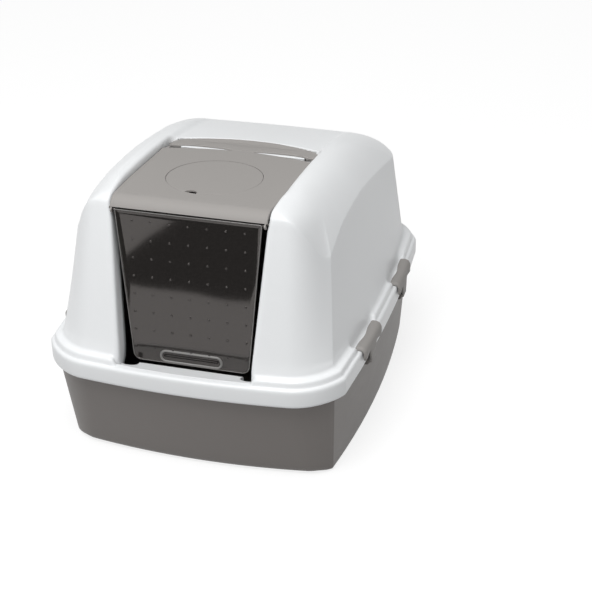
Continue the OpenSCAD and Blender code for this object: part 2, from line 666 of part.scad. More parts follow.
// Height of the door's panel above its pivot
door_top = 1.5;
module swing_door() color(smoke) on_door() {
  low = -door_len;
  rise = door_corner_r;
  rotate([90, 0, 0]) {
    difference() {
      union() {
        translate([0, 0, -door_t / 2]) linear_extrude(door_t) union() {
          polygon([[-door_hw, door_top], [door_hw, door_top], [door_low_hw, low + rise],
              [-door_low_hw, low + rise]]);
          translate([-door_low_hw + rise, low]) square([2 * (door_low_hw - rise), rise + 1]);
          for (s = [-1, 1]) translate([s * (door_low_hw - rise), low + rise]) circle(rise);
        }
        // raised rim of the pull
        translate([0, low + pull_up, 0]) linear_extrude(door_t / 2 + 2.2) slot(pull_l, pull_h);
      }
      translate([0, low + pull_up, door_t / 2 - 0.8]) linear_extrude(10) slot(pull_l - 5, pull_h - 5);
    }
  }
  for (s = [-1, 1]) translate([s * (door_hw + 1), 0, 0]) rotate([0, 90, 0])
    cylinder(r = door_pin_r, h = 10, center = true);
}

// The handle, built at its pivot and laid along the channel's slope.
handle_slope = 7;
// Place, half length and flatness of the two finger gaps behind the hatch's edge
finger_x = handle_hw / 2;
finger_r = 0.36 * handle_hw;
finger_flat = 0.2;
// Length and width of the hollow under the grip
hollow_l = 1.3 * handle_hw;
hollow_w = 18;
// Distance of the grip's front edge behind the channel's front, so that it swings past the pocket's wall
grip_back = 1;
module carry_handle() color(hatch_grey) translate([0, handle_y, handle_z]) rotate([-handle_slope, 0, 0]) {
  difference() {
    translate([0, -handle_y, -1]) linear_extrude(handle_t) difference() {
      handle_plan(0);
      for (s = [-1, 1]) translate([s * finger_x, channel_front]) scale([1, finger_flat]) circle(finger_r);
      translate([-handle_hw - 1, channel_front - 1]) square([2 * handle_hw + 2, 1 + grip_back]);
    }
    translate([0, 6, -1]) linear_extrude(handle_t - 3) slot(hollow_l, hollow_w);
  }
  for (s = [-1, 1]) {
    translate([s * (handle_hw - 4), 0, 0]) rotate([0, 90, 0]) cylinder(r = 5, h = 8, center = true);
    translate([s * (handle_hw + 1), 0, 0]) rotate([0, 90, 0]) cylinder(r = handle_pin_r, h = 12, center = true);
  }
}

base_pan();
hood();
hatch();
filter_cover();
filter_cage();
filter_frame();
carbon_pad();
zeolite_pad();
swing_door();
carry_handle();
clip_front_right();
clip_rear_right();
clip_front_left();
clip_rear_left();
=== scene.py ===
"""Looks of the hooded litter box: every piece is built here in metres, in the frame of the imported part."""

import math

import bmesh
import bpy
import numpy as np
from mathutils import Matrix, Vector


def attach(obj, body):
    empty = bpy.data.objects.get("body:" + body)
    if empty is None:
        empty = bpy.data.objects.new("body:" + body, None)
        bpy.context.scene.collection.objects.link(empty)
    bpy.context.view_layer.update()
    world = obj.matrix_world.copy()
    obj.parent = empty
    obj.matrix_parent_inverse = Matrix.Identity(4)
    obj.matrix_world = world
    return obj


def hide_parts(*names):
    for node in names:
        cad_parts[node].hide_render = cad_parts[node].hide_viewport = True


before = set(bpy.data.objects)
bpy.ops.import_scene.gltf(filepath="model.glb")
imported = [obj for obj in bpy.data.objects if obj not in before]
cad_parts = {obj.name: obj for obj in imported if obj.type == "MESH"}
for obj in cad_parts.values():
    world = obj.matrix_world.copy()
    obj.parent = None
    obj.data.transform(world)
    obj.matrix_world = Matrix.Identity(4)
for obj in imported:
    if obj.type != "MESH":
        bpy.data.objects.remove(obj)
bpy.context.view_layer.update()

MM = 0.001

# ------------------------------------------------ sizes, in millimetres, as in the part's source
RIM_W, RIM_L = 465.0, 574.0
SIDE_BOW, END_BOW, HOOD_BOW, PAN_BOW = 13.0, 18.0, 17.0, 16.0
RIM_R, RIM_CREASE, REAR_CREASE = 70.0, 20.0, 6.0
RIM_TOP, SKIRT_H, LEDGE_H, WALL = 171.5, 28.5, 9.0, 3.0
CORNER_HX, CORNER_HY = RIM_W / 2 - SIDE_BOW, RIM_L / 2 - END_BOW
FOOT_INSET = 16.0
CREST_Z, CREST_FALL, CREST_Y = 412.0, 0.00031, -190.0
FRONT_LEAN, SIDE_LEAN, BACK_LEAN = 0.235, 0.058, 0.12
SIDE_RH, SIDE_RV, SIDE_CURL, CREASE_FADE = 58.0, 45.0, 0.8, 3.0
FRONT_RH, FRONT_RV = 24.0, 20.0
BACK_RH, BACK_RV, BACK_RUN = 140.0, 47.0, 55.0
RISE_SLOPE, RISE_BEND_Y, RISE_REACH, RISE_POWER, FRONT_RISE = 0.1, -71.0, 110.0, 2.4, 24.5
SHOULDER_START = 15.0
FOOT_Z = RIM_TOP + LEDGE_H + 5
SIDE_RUN, FRONT_RUN = CREST_Z - SIDE_RV - FOOT_Z, CREST_Z - FRONT_RV - FOOT_Z
CHANNEL_D, RAIL_X, STEP_W = 8.0, 118.8, 10.0
OPEN_HW, OPEN_TOP_HW, SILL_TOP, STEP_Z = 97.0, 113.0, 168.5, 382.5
KEYHOLE_X, KEYHOLE_Y, KEYHOLE_R, SILL_BEND_Y = 89.0, -246.0, 12.0, 255.0
POCKET_Y, POCKET_LIP_Z = 19.2, 381.5
PAN_INSET, PAN_SIDE_TAPER, PAN_FRONT_TAPER, PAN_BACK_TAPER = 10.5, 8.0, 34.5, 31.5
PAN_R, PAN_LOW_R, PAN_CREASE = 72.0, 40.0, 38.0
PAN_FRONT_FILLET, PAN_SIDE_FILLET, PAN_FLOOR_RISE = 14.0, 8.0, 1.2
HATCH_Y, HATCH_Z, HATCH_SLOPE = -219.0, 408.5, 4.5
HATCH_FRONT_HW, HATCH_REAR_HW, HATCH_LEN, HATCH_BOW = 114.0, 117.5, 232.0, 17.0
HATCH_T, NOSE_R, LIP_H, HINGE_Y, HINGE_Z, EAR_R = 2.6, 22.0, 14.5, 10.0, 383.0, 5.0
COVER_R, COVER_Y, NOTCH_R, NOTCH_TURN = 69.5, 116.0, 9.0, 10.0
DOOR_Y, DOOR_Z, DOOR_TILT, DOOR_LEN = -217.0, 390.0, 4.7, 227.5
DOOR_HW, DOOR_LOW_HW, DOOR_T, DOOR_CORNER_R, DOOR_TOP = 107.5, 88.0, 2.4, 12.0, 1.5
PULL_L, PULL_H, PULL_UP, PULL_STEP_H = 92.0, 17.0, 11.0, 6.0
HANDLE_Y, HANDLE_Z, HANDLE_HW, HANDLE_REACH, HANDLE_BOW = 30.0, 381.0, 116.0, 40.0, 31.0
GRIP_SLOPE, CHANNEL_FRONT, POCKET_FLOOR = 3.5, 20.0, 366.0
FINGER_X, FINGER_R, FINGER_FLAT = HANDLE_HW / 2, 0.36 * HANDLE_HW, 0.2
LAND_TOP, GRIP_TOP, DISH_HW, DISH_DEPTH = 385.6, 5.0, 84.0, 2.0
CLIP_L, CLIP_PITCH, CLIP_MID, CLIP_T, CLIP_DROP, CLIP_GAP = 85.0, 202.0, -6.0, 3.6, 5.6, 0.8
CLIP_Z = RIM_TOP - SKIRT_H - CLIP_DROP
LUG_Y, LUG_ROOT = 13.4, -13.0
CLIP_X = RIM_W / 2 - SIDE_BOW * (CLIP_PITCH / 2 / CORNER_HY) ** 2 - 2.5
CLIP_TURN = math.degrees(math.atan(SIDE_BOW * CLIP_PITCH / CORNER_HY**2))

# ------------------------------------------------ the photograph's camera
LENS_PX, FRAME_PX, SENSOR = 1548.53, 592.0, 36.0
EYE = (697.72, -1990.73, 1315.45)
YAW, PITCH, ROLL = 17.46, 29.0, -1.46
CENTRE_PX = (287.54, 297.12)


def ease(t):
    t = min(1.0, max(0.0, t))
    return t * t * (3 - 2 * t)


def mix(a, b, t):
    return a + (b - a) * t


def cosd(a):
    return math.cos(math.radians(a))


def sind(a):
    return math.sin(math.radians(a))


# ------------------------------------------------ plan outlines
class Ring:
    """One level of the outline: a rounded rectangle whose sides and ends bow outwards."""

    def __init__(self, hx, front, back, r, crease, bow, end_bow=END_BOW, back_bow=END_BOW, rear_crease=None):
        self.hx, self.hy, self.mid = hx, (front + back) / 2, (back - front) / 2
        self.r, self.crease = r, crease
        self.rear_crease = crease if rear_crease is None else rear_crease
        self.bow, self.end_bow, self.back_bow = bow, end_bow, back_bow

    def reach(self, rear=False):
        return self.hx - self.r * cosd(self.rear_crease if rear else self.crease)

    def bowed(self, x, y, w):
        bow_x = self.bow * (1 - (y / self.hy) ** 2) * min(1, abs(x) / self.hx)
        end = self.back_bow if y > 0 else self.end_bow
        bow_y = end * (1 - (x / self.hx) ** 2) * min(1, abs(y) / self.hy)
        return x + bow_x, y + math.copysign(bow_y, y) + self.mid, w

    def corner(self, a, rear=False):
        """A point of the corner's arc. Its third value runs from 0 on the side to 90 on the end."""
        crease = self.rear_crease if rear else self.crease
        sign = 1 if rear else -1
        x, y = self.reach(rear) + self.r * cosd(a), sign * (self.hy - self.r + self.r * sind(a))
        return self.bowed(x, y, sign * 90 * (a - crease) / (90 - crease))

    def turn_at(self, x, rear=False):
        """The arc's angle at which it has come out to x."""
        lo, hi = (self.rear_crease if rear else self.crease), 90.0
        for _ in range(24):
            a = (lo + hi) / 2
            lo, hi = (a, hi) if self.corner(a, rear)[0] > x else (lo, a)
        return (lo + hi) / 2

    def end_at(self, x, rear=False):
        """The point of the front or back end, or of the corner's arc, that has this x."""
        if x <= self.reach(rear):
            return self.bowed(x, self.hy if rear else -self.hy, 90.0 if rear else -90.0)
        return self.corner(self.turn_at(x, rear), rear)

    def round_corner(self, share, start, rear=False):
        """Walks from x = start on the end round the corner to the side, by length."""
        crease = self.rear_crease if rear else self.crease
        flat = max(0.0, self.reach(rear) - start)
        turn = 90.0 if flat > 0 else self.turn_at(start, rear)
        arc = self.r * math.radians(turn - crease)
        gone = share * (flat + arc)
        if gone < flat:
            return self.end_at(start + gone, rear)
        return self.corner(turn - math.degrees((gone - flat) / self.r), rear)

    def side_at(self, share):
        lo = -(self.hy - self.r + self.r * sind(self.crease))
        hi = self.hy - self.r + self.r * sind(self.rear_crease)
        return self.bowed(self.hx, mix(lo, hi, share), 0.0)


def rim_ring(inset):
    return Ring(CORNER_HX - inset, CORNER_HY - inset, CORNER_HY - inset, RIM_R - inset, RIM_CREASE, SIDE_BOW)


def foot_ring(inset):
    return Ring(RIM_W / 2 - HOOD_BOW - inset, CORNER_HY - inset, CORNER_HY - inset, RIM_R - inset, RIM_CREASE,
                HOOD_BOW, rear_crease=REAR_CREASE)


def crest(y):
    return CREST_Z - CREST_FALL * max(0.0, y - CREST_Y) ** 2


def side_rise(y):
    return (SIDE_RV + RISE_SLOPE * max(0.0, -y)
            + FRONT_RISE * (max(0.0, RISE_BEND_Y - y) / RISE_REACH) ** RISE_POWER)


def shoulder_in(t):
    return cosd(SHOULDER_START) - cosd(max(t, SHOULDER_START))


def hood_ring(u, t):
    c = shoulder_in(t)
    s = FOOT_INSET
    return Ring(RIM_W / 2 - HOOD_BOW - s - u * SIDE_RUN * SIDE_LEAN - SIDE_RH * c,
                CORNER_HY - s - u * FRONT_RUN * FRONT_LEAN - FRONT_RH * c,
                CORNER_HY - s - u * BACK_RUN * BACK_LEAN - BACK_RH * c, RIM_R - s,
                RIM_CREASE * max(0.0, 1 - CREASE_FADE * c / cosd(SHOULDER_START)), HOOD_BOW * (1 - u),
                END_BOW, END_BOW * (1 - 0.8 * c), REAR_CREASE)


def hood_z(u, t, y, w):
    turn = 1 - sind(max(t, SHOULDER_START))
    share = shoulder_in(t) / cosd(SHOULDER_START)
    flank = cosd(w) ** 2
    side = side_rise(y) * mix(turn, (1 - share) * (1 - SIDE_CURL * share), flank)
    drop = (FRONT_RV * max(0.0, -sind(w)) ** 2 + BACK_RV * max(0.0, sind(w)) ** 2) * turn + side * flank
    return FOOT_Z + u * (crest(y) - drop - FOOT_Z)


def channel(y):
    return crest(y) - CHANNEL_D


def rail_x(y):
    """Inner face of the rail, one millimetre off the hatch's edge."""
    return RAIL_X - 3.5 * (1 - min(1.0, max(0.0, (y - HATCH_Y) / (HATCH_LEN / 3))))


def opening_x(z):
    straight = OPEN_HW + (OPEN_TOP_HW - OPEN_HW) * (z - SILL_TOP) / (STEP_Z - SILL_TOP)
    return mix(min(straight, 115.0), 115.6, ease((z - 385) / 12))


# ------------------------------------------------ mesh tools
def grid_piece(name, grids, centre=(0, 0, 200), mirrored=True):
    """Joins grids of points, rows of [x, y, z] in millimetres, and their mirror images into one skin."""
    bm = bmesh.new()
    for grid in grids:
        for sign in (1, -1) if mirrored else (1,):
            rows = [[bm.verts.new((sign * p[0] * MM, p[1] * MM, p[2] * MM)) for p in row] for row in grid]
            for upper, lower in zip(rows, rows[1:]):
                for i in range(len(upper) - 1):
                    corners = (upper[i], upper[i + 1], lower[i + 1], lower[i])
                    bm.faces.new(corners if sign > 0 else corners[::-1])
    bmesh.ops.remove_doubles(bm, verts=bm.verts, dist=3e-5)
    bmesh.ops.dissolve_degenerate(bm, edges=bm.edges, dist=1e-6)
    bmesh.ops.recalc_face_normals(bm, faces=bm.faces)
    mid = Vector(centre) * MM
    if sum(f.normal.dot(f.calc_center_median() - mid) * f.calc_area() for f in bm.faces) < 0:
        bmesh.ops.reverse_faces(bm, faces=bm.faces)
    return finish_mesh(name, bm)


def finish_mesh(name, bm, sharp=None):
    mesh = bpy.data.meshes.new(name)
    bm.to_mesh(mesh)
    bm.free()
    mesh.shade_smooth()
    if sharp is not None:
        mesh.set_sharp_from_angle(angle=math.radians(sharp))
    obj = bpy.data.objects.new(name, mesh)
    bpy.context.scene.collection.objects.link(obj)
    return obj


def loop_piece(name, loops, place=None, ends="capped", sharp=None):
    """Bridges closed loops of equally many points; the ends are capped, make a ring, or the first is open."""
    bm = bmesh.new()
    rows = [[bm.verts.new(Vector(p) * MM) for p in loop] for loop in loops]
    n = len(rows[0])
    for a, b in zip(rows, rows[1:] + (rows[:1] if ends == "ring" else [])):
        for i in range(n):
            k = (i + 1) % n
            bm.faces.new((a[i], a[k], b[k], b[i]))
    if ends == "capped":
        bm.faces.new(rows[0][::-1])
    if ends != "ring":
        bm.faces.new(rows[-1])
    bmesh.ops.remove_doubles(bm, verts=bm.verts, dist=1e-6)
    if place is not None:
        bmesh.ops.transform(bm, matrix=place, verts=bm.verts)
    bmesh.ops.recalc_face_normals(bm, faces=bm.faces)
    return finish_mesh(name, bm, sharp)


def add_modifier(obj, kind, **settings):
    modifier = obj.modifiers.new(kind.lower(), kind)
    for key, value in settings.items():
        setattr(modifier, key, value)
    return modifier


def plain_mesh(obj):
    """Replaces an object's modifiers by their result."""
    graph = bpy.context.evaluated_depsgraph_get()
    mesh = bpy.data.meshes.new_from_object(obj.evaluated_get(graph))
    obj.modifiers.clear()
    obj.data = mesh
    return obj


def drill(obj, r, x, y, low, high, steps, sharp):
    """Cuts a round hole through the object, and marks its edges that are sharper than an angle."""
    tool = loop_piece("tool", [circle_loop(r, z, steps, y, x) for z in (low, high)])
    add_modifier(obj, "BOOLEAN", operation="DIFFERENCE", solver="EXACT", object=tool)
    plain_mesh(obj)
    bpy.data.objects.remove(tool)
    obj.data.set_sharp_from_angle(angle=math.radians(sharp))


def thicken(obj, thickness):
    add_modifier(obj, "SOLIDIFY", thickness=thickness * MM, offset=-1)
    return plain_mesh(obj)


def placed(x, y, z, about_x=0.0, about_z=0.0):
    return (Matrix.Translation(Vector((x, y, z)) * MM) @ Matrix.Rotation(math.radians(about_z), 4, "Z")
            @ Matrix.Rotation(math.radians(about_x), 4, "X"))


def circle_loop(r, z, n=96, y=0.0, x=0.0):
    turns = [2 * math.pi * i / n for i in range(n)]
    return [(x + r * math.cos(a), y + r * math.sin(a), z) for a in turns]


def pin_loops(sections, side=1, y=0.0, z=0.0):
    """Loops of a round pin along X, from its sections' (x, radius)."""
    return [[(side * x, y + r * cosd(a), z + r * sind(a)) for a in range(0, 360, 15)] for x, r in sections]


def join(name, pieces):
    """Joins pieces into one object."""
    bm = bmesh.new()
    for piece in pieces:
        bm.from_mesh(piece.data)
        bpy.data.objects.remove(piece)
    return finish_mesh(name, bm)


# ------------------------------------------------ materials
class Term:
    """A varying value of a material, so that sums and products are plain expressions."""

    def __init__(self, finish, socket):
        self.finish, self.socket = finish, socket

    def _math(self, operation, a, b):
        return self.finish.node("Math", {"operation": operation}, [a, b])

    def __add__(self, other):
        return self._math("ADD", self, other)

    __radd__ = __add__

    def __mul__(self, other):
        return self._math("MULTIPLY", self, other)

    __rmul__ = __mul__

    def __sub__(self, other):
        return self._math("SUBTRACT", self, other)

    def __rsub__(self, other):
        return self._math("SUBTRACT", other, self)

    def clamped(self):
        return self.finish.node("Clamp", {}, [self])


class Finish:
    """One material or world. node() takes a type, its settings, then the values or links of its sockets."""

    def __init__(self, name, world=False):
        self.data = (bpy.data.worlds if world else bpy.data.materials).new(name)
        self.data.use_nodes = True
        self.tree = self.data.node_tree
        self.tree.nodes.clear()
        self.out = self.tree.nodes.new("ShaderNodeOutput" + ("World" if world else "Material"))

    def node(self, kind, settings, sockets, output=0):
        made = self.tree.nodes.new("ShaderNode" + kind)
        for key, value in settings.items():
            setattr(made, key, value)
        pairs = sockets.items() if isinstance(sockets, dict) else enumerate(sockets)
        for key, value in pairs:
            if value is None:
                continue
            if isinstance(value, Term):
                self.tree.links.new(value.socket, made.inputs[key])
            else:
                made.inputs[key].default_value = value
        return Term(self, made.outputs[output])

    def place(self):
        return self.node("TexCoord", {}, [], output=3)

    def noise(self, scale, detail=3.0, roughness=0.5, where=None, distortion=0.0):
        where = self.place() if where is None else where
        return self.node("TexNoise", {}, {"Vector": where, "Scale": scale, "Detail": detail,
                                          "Roughness": roughness, "Distortion": distortion})

    def stretched(self, scale):
        return self.node("Mapping", {}, {"Vector": self.place(), "Scale": scale})

    def blend(self, share, a, b):
        return self.node("Mix", {"data_type": "RGBA"}, {0: share, 6: a, 7: b}, output=2)

    def bump(self, height, depth, strength=1.0):
        return self.node("Bump", {}, {"Height": height, "Distance": depth, "Strength": strength})

    def ray(self, kind):
        return self.node("LightPath", {}, [], output=kind)

    def close(self, shader):
        self.tree.links.new(shader.socket, self.out.inputs[0])
        return self.data

    def surface(self, **sockets):
        named = {key.replace("_", " "): value for key, value in sockets.items()}
        return self.close(self.node("BsdfPrincipled", {}, named))


def rgb(colour, gain=1.0):
    return (colour[0] * gain, colour[1] * gain, colour[2] * gain, 1.0)


def moulded(name, colour, roughness, grain_depth, specular=0.5):
    """Injection-moulded plastic: a fine spark-eroded grain, faint flow shading and slightly uneven gloss."""
    f = Finish(name)
    flow = f.noise(5.0, 2.0)
    grain = f.noise(1500.0, 2.0, 0.6)
    scuff = f.noise(60.0, 4.0, 0.65, where=f.stretched((1.0, 0.35, 1.0)))
    tone = f.blend((flow * 0.7 + scuff * 0.3).clamped(), rgb(colour, 0.965), rgb(colour, 1.03))
    rough = roughness + (flow - 0.5) * 0.08 + (scuff - 0.5) * 0.10 + (grain - 0.5) * 0.06
    return f.surface(Base_Color=tone, Roughness=rough.clamped(), Specular_IOR_Level=specular,
                     Normal=f.bump(grain + scuff * 0.6, grain_depth * MM))


def smoked_glass(name):
    """Tinted clear plastic: dark, glossy, very slightly wavy."""
    f = Finish(name)
    wave = f.noise(9.0, 1.0)
    dust = f.noise(420.0, 3.0, 0.7)
    tone = f.blend((dust * 1.4 - 0.4).clamped(), rgb((0.022, 0.0203, 0.019)), rgb((0.034, 0.0312, 0.0295)))
    rough = 0.035 + dust * 0.03 + wave * 0.02
    return f.surface(Base_Color=tone, Roughness=rough.clamped(), IOR=1.72, Alpha=0.93,
                     Specular_Tint=(1.0, 0.93, 0.9, 1.0), Normal=f.bump(wave, 0.9 * MM, 0.35))


def felt(name, colour, fleck):
    """Needled felt: matted fibres with darker flecks."""
    f = Finish(name)
    fibres = f.noise(900.0, 6.0, 0.75, where=f.stretched((1.0, 0.55, 1.0)), distortion=1.5)
    clumps = f.noise(120.0, 4.0, 0.6)
    share = ((fibres * 0.6 + clumps * 0.4 - 0.38) * 4.0).clamped()
    tone = f.blend(share, rgb(fleck), rgb(colour))
    return f.surface(Base_Color=tone, Roughness=(0.85 + clumps * 0.1).clamped(), Sheen_Weight=0.25,
                     Normal=f.bump(fibres + clumps * 0.5, 0.8 * MM))


WHITE_COLOUR = (0.835, 0.85, 0.86)
PAN_COLOUR = (0.192, 0.176, 0.166)
TRIM_COLOUR = (0.325, 0.310, 0.297)


def make_materials():
    return {
        "hood": moulded("hood_white", WHITE_COLOUR, 0.34, 0.006),
        "pan": moulded("pan_grey", PAN_COLOUR, 0.46, 0.02, specular=0.4),
        "trim": moulded("trim_grey", TRIM_COLOUR, 0.56, 0.015, specular=0.25),
        "smoke": smoked_glass("smoked_plastic"),
        # Near-black floor of the finger pull: painted shade in its recess.
        "shade": moulded("painted_shade_recess", (0.008, 0.0075, 0.007), 0.6, 0.01, specular=0.06),
        # Lighter grey of the door's edge strip and the pull's rim: painted highlight along the edges of the
        # dark clear plastic.
        "edge": moulded("painted_highlight_edge", (0.20, 0.195, 0.188), 0.3, 0.004),
        "frame": moulded("frame_white", (0.82, 0.82, 0.81), 0.6, 0.01),
        "carbon": felt("carbon_felt", (0.52, 0.54, 0.56), (0.30, 0.32, 0.34)),
        "zeolite": felt("zeolite_felt", (0.68, 0.52, 0.45), (0.44, 0.32, 0.27)),
    }


def dress(obj, material, body, slot, *nodes):
    obj.data.materials.clear()
    obj.data.materials.append(material)
    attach(obj, body)
    if nodes:
        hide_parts(*nodes)
    return obj


# ------------------------------------------------ hood
# Edge of the opening and of the rails: distance outwards from the corner, and depth inwards.
EDGE = [(0.0, 30.0), (0.0, 21.0), (0.0, 12.0), (0.0, 7.5), (0.35, 4.2), (1.5, 1.9), (3.4, 0.7), (5.8, 0.12)]
# Step from the channel's floor up to the rail: place across and share of the channel's depth.
STEP = [(-STEP_W, 1.0), (-8.0, 0.965), (-6.0, 0.85), (-4.0, 0.64), (-2.2, 0.42), (-0.4, 0.22), (1.8, 0.07),
        (5.0, 0.0)]
FIRST, JAMB_X, JAMB_FACE, JAMB_DROP = 7.5, OPEN_HW + 1.5, 3.0, 26.0
CORNER_STEPS = [0.06 * k for k in range(15)] + [0.89, 0.93, 0.96, 0.985, 1.0]
PATCH_CORNER = 9
CHANNEL_STEPS = 14
TURNS = [90, 84, 78, 72, 66, 60, 54, 48, 42, 36, 31, 26.5, 22.5, 19, 16.5, 15]
CLIMBS = [0.97, 0.93, 0.86, 0.76, 0.64, 0.52, 0.4, 0.28, 0.17, 0.09, 0.045]


def side_steps():
    """Places along the side, closer together where the ledge ends at the clips."""
    hi = CORNER_HY - RIM_R + RIM_R * sind(RIM_CREASE)
    lo = -hi
    places = [lo, lo + 1.5, lo + 5]
    for place in (-1, 1):
        for end in (-1, 1):
            at = CLIP_MID + place * CLIP_PITCH / 2 + end * (CLIP_L / 2 + 4)
            places += [at + d for d in (-8, -5, -2.5, 0, 2.5, 5, 8)]
    places += [-150, -135, -120, -107, -94, -80, -45, -30, -15, 0, 15, 30, 70, 84, 97, 110, 124, 160, 175]
    places += [190, hi - 5, hi - 1.5, hi]
    return [(p - lo) / (hi - lo) for p in sorted(places)]


COLUMNS = ([("front", f) for f in CORNER_STEPS] + [("side", f) for f in side_steps()[1:-1]]
           + [("rear", f) for f in reversed(CORNER_STEPS)])
OUTER_START, OUTER_END = PATCH_CORNER, len(COLUMNS) - 1 - PATCH_CORNER


def along(ring, zone, f, start=None):
    """A column's place on a ring; a corner's share runs from the opening or the rail round to the side."""
    if zone == "side":
        return ring.side_at(f)
    if zone == "rear":
        return ring.round_corner(f, RAIL_X + FIRST, rear=True)
    return ring.round_corner(f, start)


def settle(x, y, z):
    """Lowers a point of the roof to the channel's floor between the rails."""
    share = 0.0
    across = x - RAIL_X
    if across <= STEP[0][0]:
        share = 1.0
    else:
        for (xa, sa), (xb, sb) in zip(STEP, STEP[1:]):
            if xa <= across <= xb:
                share = mix(sa, sb, (across - xa) / (xb - xa))
    over = z - channel(y)
    soft = 0.5 * (over + math.sqrt(over * over + 4.0)) if over < CHANNEL_D - 0.5 else over
    return z - share * soft


def rear_places():
    return [RAIL_X + dx for dx, _ in reversed(STEP)] + [
        (RAIL_X - STEP_W) * (1 - k / CHANNEL_STEPS) for k in range(1, CHANNEL_STEPS + 1)]


def hood_row(u, t):
    """One level of the hood's wall, from the jamb round the side to the middle of the back."""
    ring = hood_ring(u, t)
    turn = 90 * (t - SHOULDER_START) / (90 - SHOULDER_START) if t > SHOULDER_START else 0.0
    row = []
    y_edge = ring.end_at(OPEN_TOP_HW)[1]
    z_edge = hood_z(u, t, y_edge, -90)
    x_edge = mix(opening_x(z_edge), rail_x(y_edge), turn / 90)
    for dx, depth in EDGE:
        x, y, w = ring.end_at(x_edge + dx)
        z = hood_z(u, t, y, w)
        row.append((x, y + depth * cosd(turn), z - depth * sind(turn)))
    for zone, f in COLUMNS:
        x, y, w = along(ring, zone, f, x_edge + FIRST)
        row.append((x, y, hood_z(u, t, y, w)))
    for place in rear_places():
        x, y, w = ring.end_at(place, rear=True)
        row.append((x, y, settle(x, y, hood_z(u, t, y, w))))
    return row


def ledge_gate(x, y):
    """1 where the ledge stands, 0 at the sill and under the clips."""
    gate = 1.0
    if y < -200 and x < 140:
        gate = ease((x - 99) / 7)
    if x > 200:
        for place in (-1, 1):
            off = abs(y - (CLIP_MID + place * CLIP_PITCH / 2)) - (CLIP_L / 2 + 0.5)
            gate = min(gate, ease(off / 7))
    return gate


# Foot of the wall, ledge, rim and skirt: share of the rim's outline, inset, height with and without the ledge.
LEDGE_ROWS = [(0.0, 16.0, 188.5, 184.5), (0.0, 15.5, 185.8, 180.0), (0.0, 14.7, 183.7, 176.0),
              (0.05, 13.4, 182.3, 173.5), (0.1, 12.0, 181.5, 172.2), (0.35, 10.4, 181.0, 171.8),
              (0.75, 8.8, 180.8, 171.7), (1.0, 7.6, 180.2, 171.6), (1.0, 6.7, 179.0, 171.6),
              (1.0, 6.1, 177.0, 171.6), (1.0, 5.7, 174.6, 171.55), (1.0, 5.2, 172.5, 171.5)]
RIM_ROWS = [(1.0, 4.5, 171.6, RIM_TOP)] + [(1.0, inset, z, z) for inset, z in (
    (3.4, 171.3), (2.1, 170.8), (1.0, 169.8), (0.3, 168.3), (0.0, 166.5), (0.0, 163.0), (0.05, 147.0),
    (0.3, 144.6), (1.2, 143.1))]


def blend_points(a, b, share):
    return tuple(mix(p, q, share) for p, q in zip(a, b))


def low_point(share, inset, zone, f, start):
    foot, rim = (along(ring(inset), zone, f, start) for ring in (foot_ring, rim_ring))
    return blend_points(foot, rim, share)


def low_row(share, inset, on, off, edge_columns):
    row = []
    for x, depth, drop in edge_columns:
        px, py, _ = low_point(share, inset, "front", 0.0, x)
        gate = ledge_gate(px, py)
        row.append((px, py + depth, mix(off, on, gate) - drop))
    for zone, f in COLUMNS:
        x, y, _ = low_point(share, inset, zone, f, JAMB_X + FIRST)
        row.append((x, y, mix(off, on, ledge_gate(x, y))))
    for place in rear_places():
        foot, rim = (ring(inset).end_at(place, True) for ring in (foot_ring, rim_ring))
        row.append((*blend_points(foot, rim, share)[:2], on))
    return row


def jamb_foot(k, inset):
    """Columns of the jamb at one level of the ledge: it draws back and down, clear of the swinging door."""
    columns = []
    for dx, depth in EDGE:
        deep = depth > JAMB_FACE
        back = (FOOT_INSET - inset) * min(1.0, depth / FIRST) if deep else 0.0
        drop = JAMB_DROP * k / (len(LEDGE_ROWS) - 1) if deep else 0.0
        columns.append((JAMB_X + dx, depth - back, drop))
    return columns


def hood_shell():
    wall_rows = [hood_row(1.0, t) for t in TURNS] + [hood_row(u, 0.0) for u in CLIMBS]
    foot_rows = [low_row(*row, jamb_foot(k, row[1])) for k, row in enumerate(LEDGE_ROWS)]
    middle = [(OPEN_HW * k / 12, 0.0, 0.0) for k in range(13)] + [(JAMB_X + dx, 0.0, 0.0) for dx, _ in EDGE[3:]]
    rim = [low_row(*row, middle) for row in LEDGE_ROWS[-1:] + RIM_ROWS]
    front_lip = [low_row(*row, middle)[:len(middle) + 1] for row in LEDGE_ROWS[4:]]
    return [wall_rows + foot_rows, rim, front_lip, rail_top(wall_rows[0]), channel_floor(wall_rows[0])]


def arc_y(x, grow=0.8):
    radius = ((HANDLE_HW + 3) ** 2 + HANDLE_BOW**2) / (2 * HANDLE_BOW)
    rear = HANDLE_Y + HANDLE_REACH
    return rear - radius + math.sqrt((radius + grow) ** 2 - min(abs(x), HANDLE_HW + 3) ** 2)


POCKET_END = arc_y(RAIL_X)


def rail_rows(top_row):
    """Rows across the rail: their places along its outer and inner edge, and where the channel starts."""
    outer = top_row[len(EDGE) + OUTER_START:len(EDGE) + OUTER_END + 1]
    start = min(range(len(outer)), key=lambda j: abs(outer[j][1] - POCKET_END))
    first, last = outer[0][1], outer[-1][1]
    lo, hi = top_row[len(EDGE)][1], top_row[len(EDGE) + len(COLUMNS) - 1][1]
    inner = []
    middle = outer[start][1]
    for j, (_, y, _) in enumerate(outer):
        if j <= start:
            inner.append(mix(lo, POCKET_END, (y - first) / (middle - first)))
        else:
            inner.append(mix(POCKET_END, hi, (y - middle) / (last - middle)))
    return outer, inner, start


def rear_y(x):
    return hood_ring(1.0, 90).end_at(x, rear=True)[1]


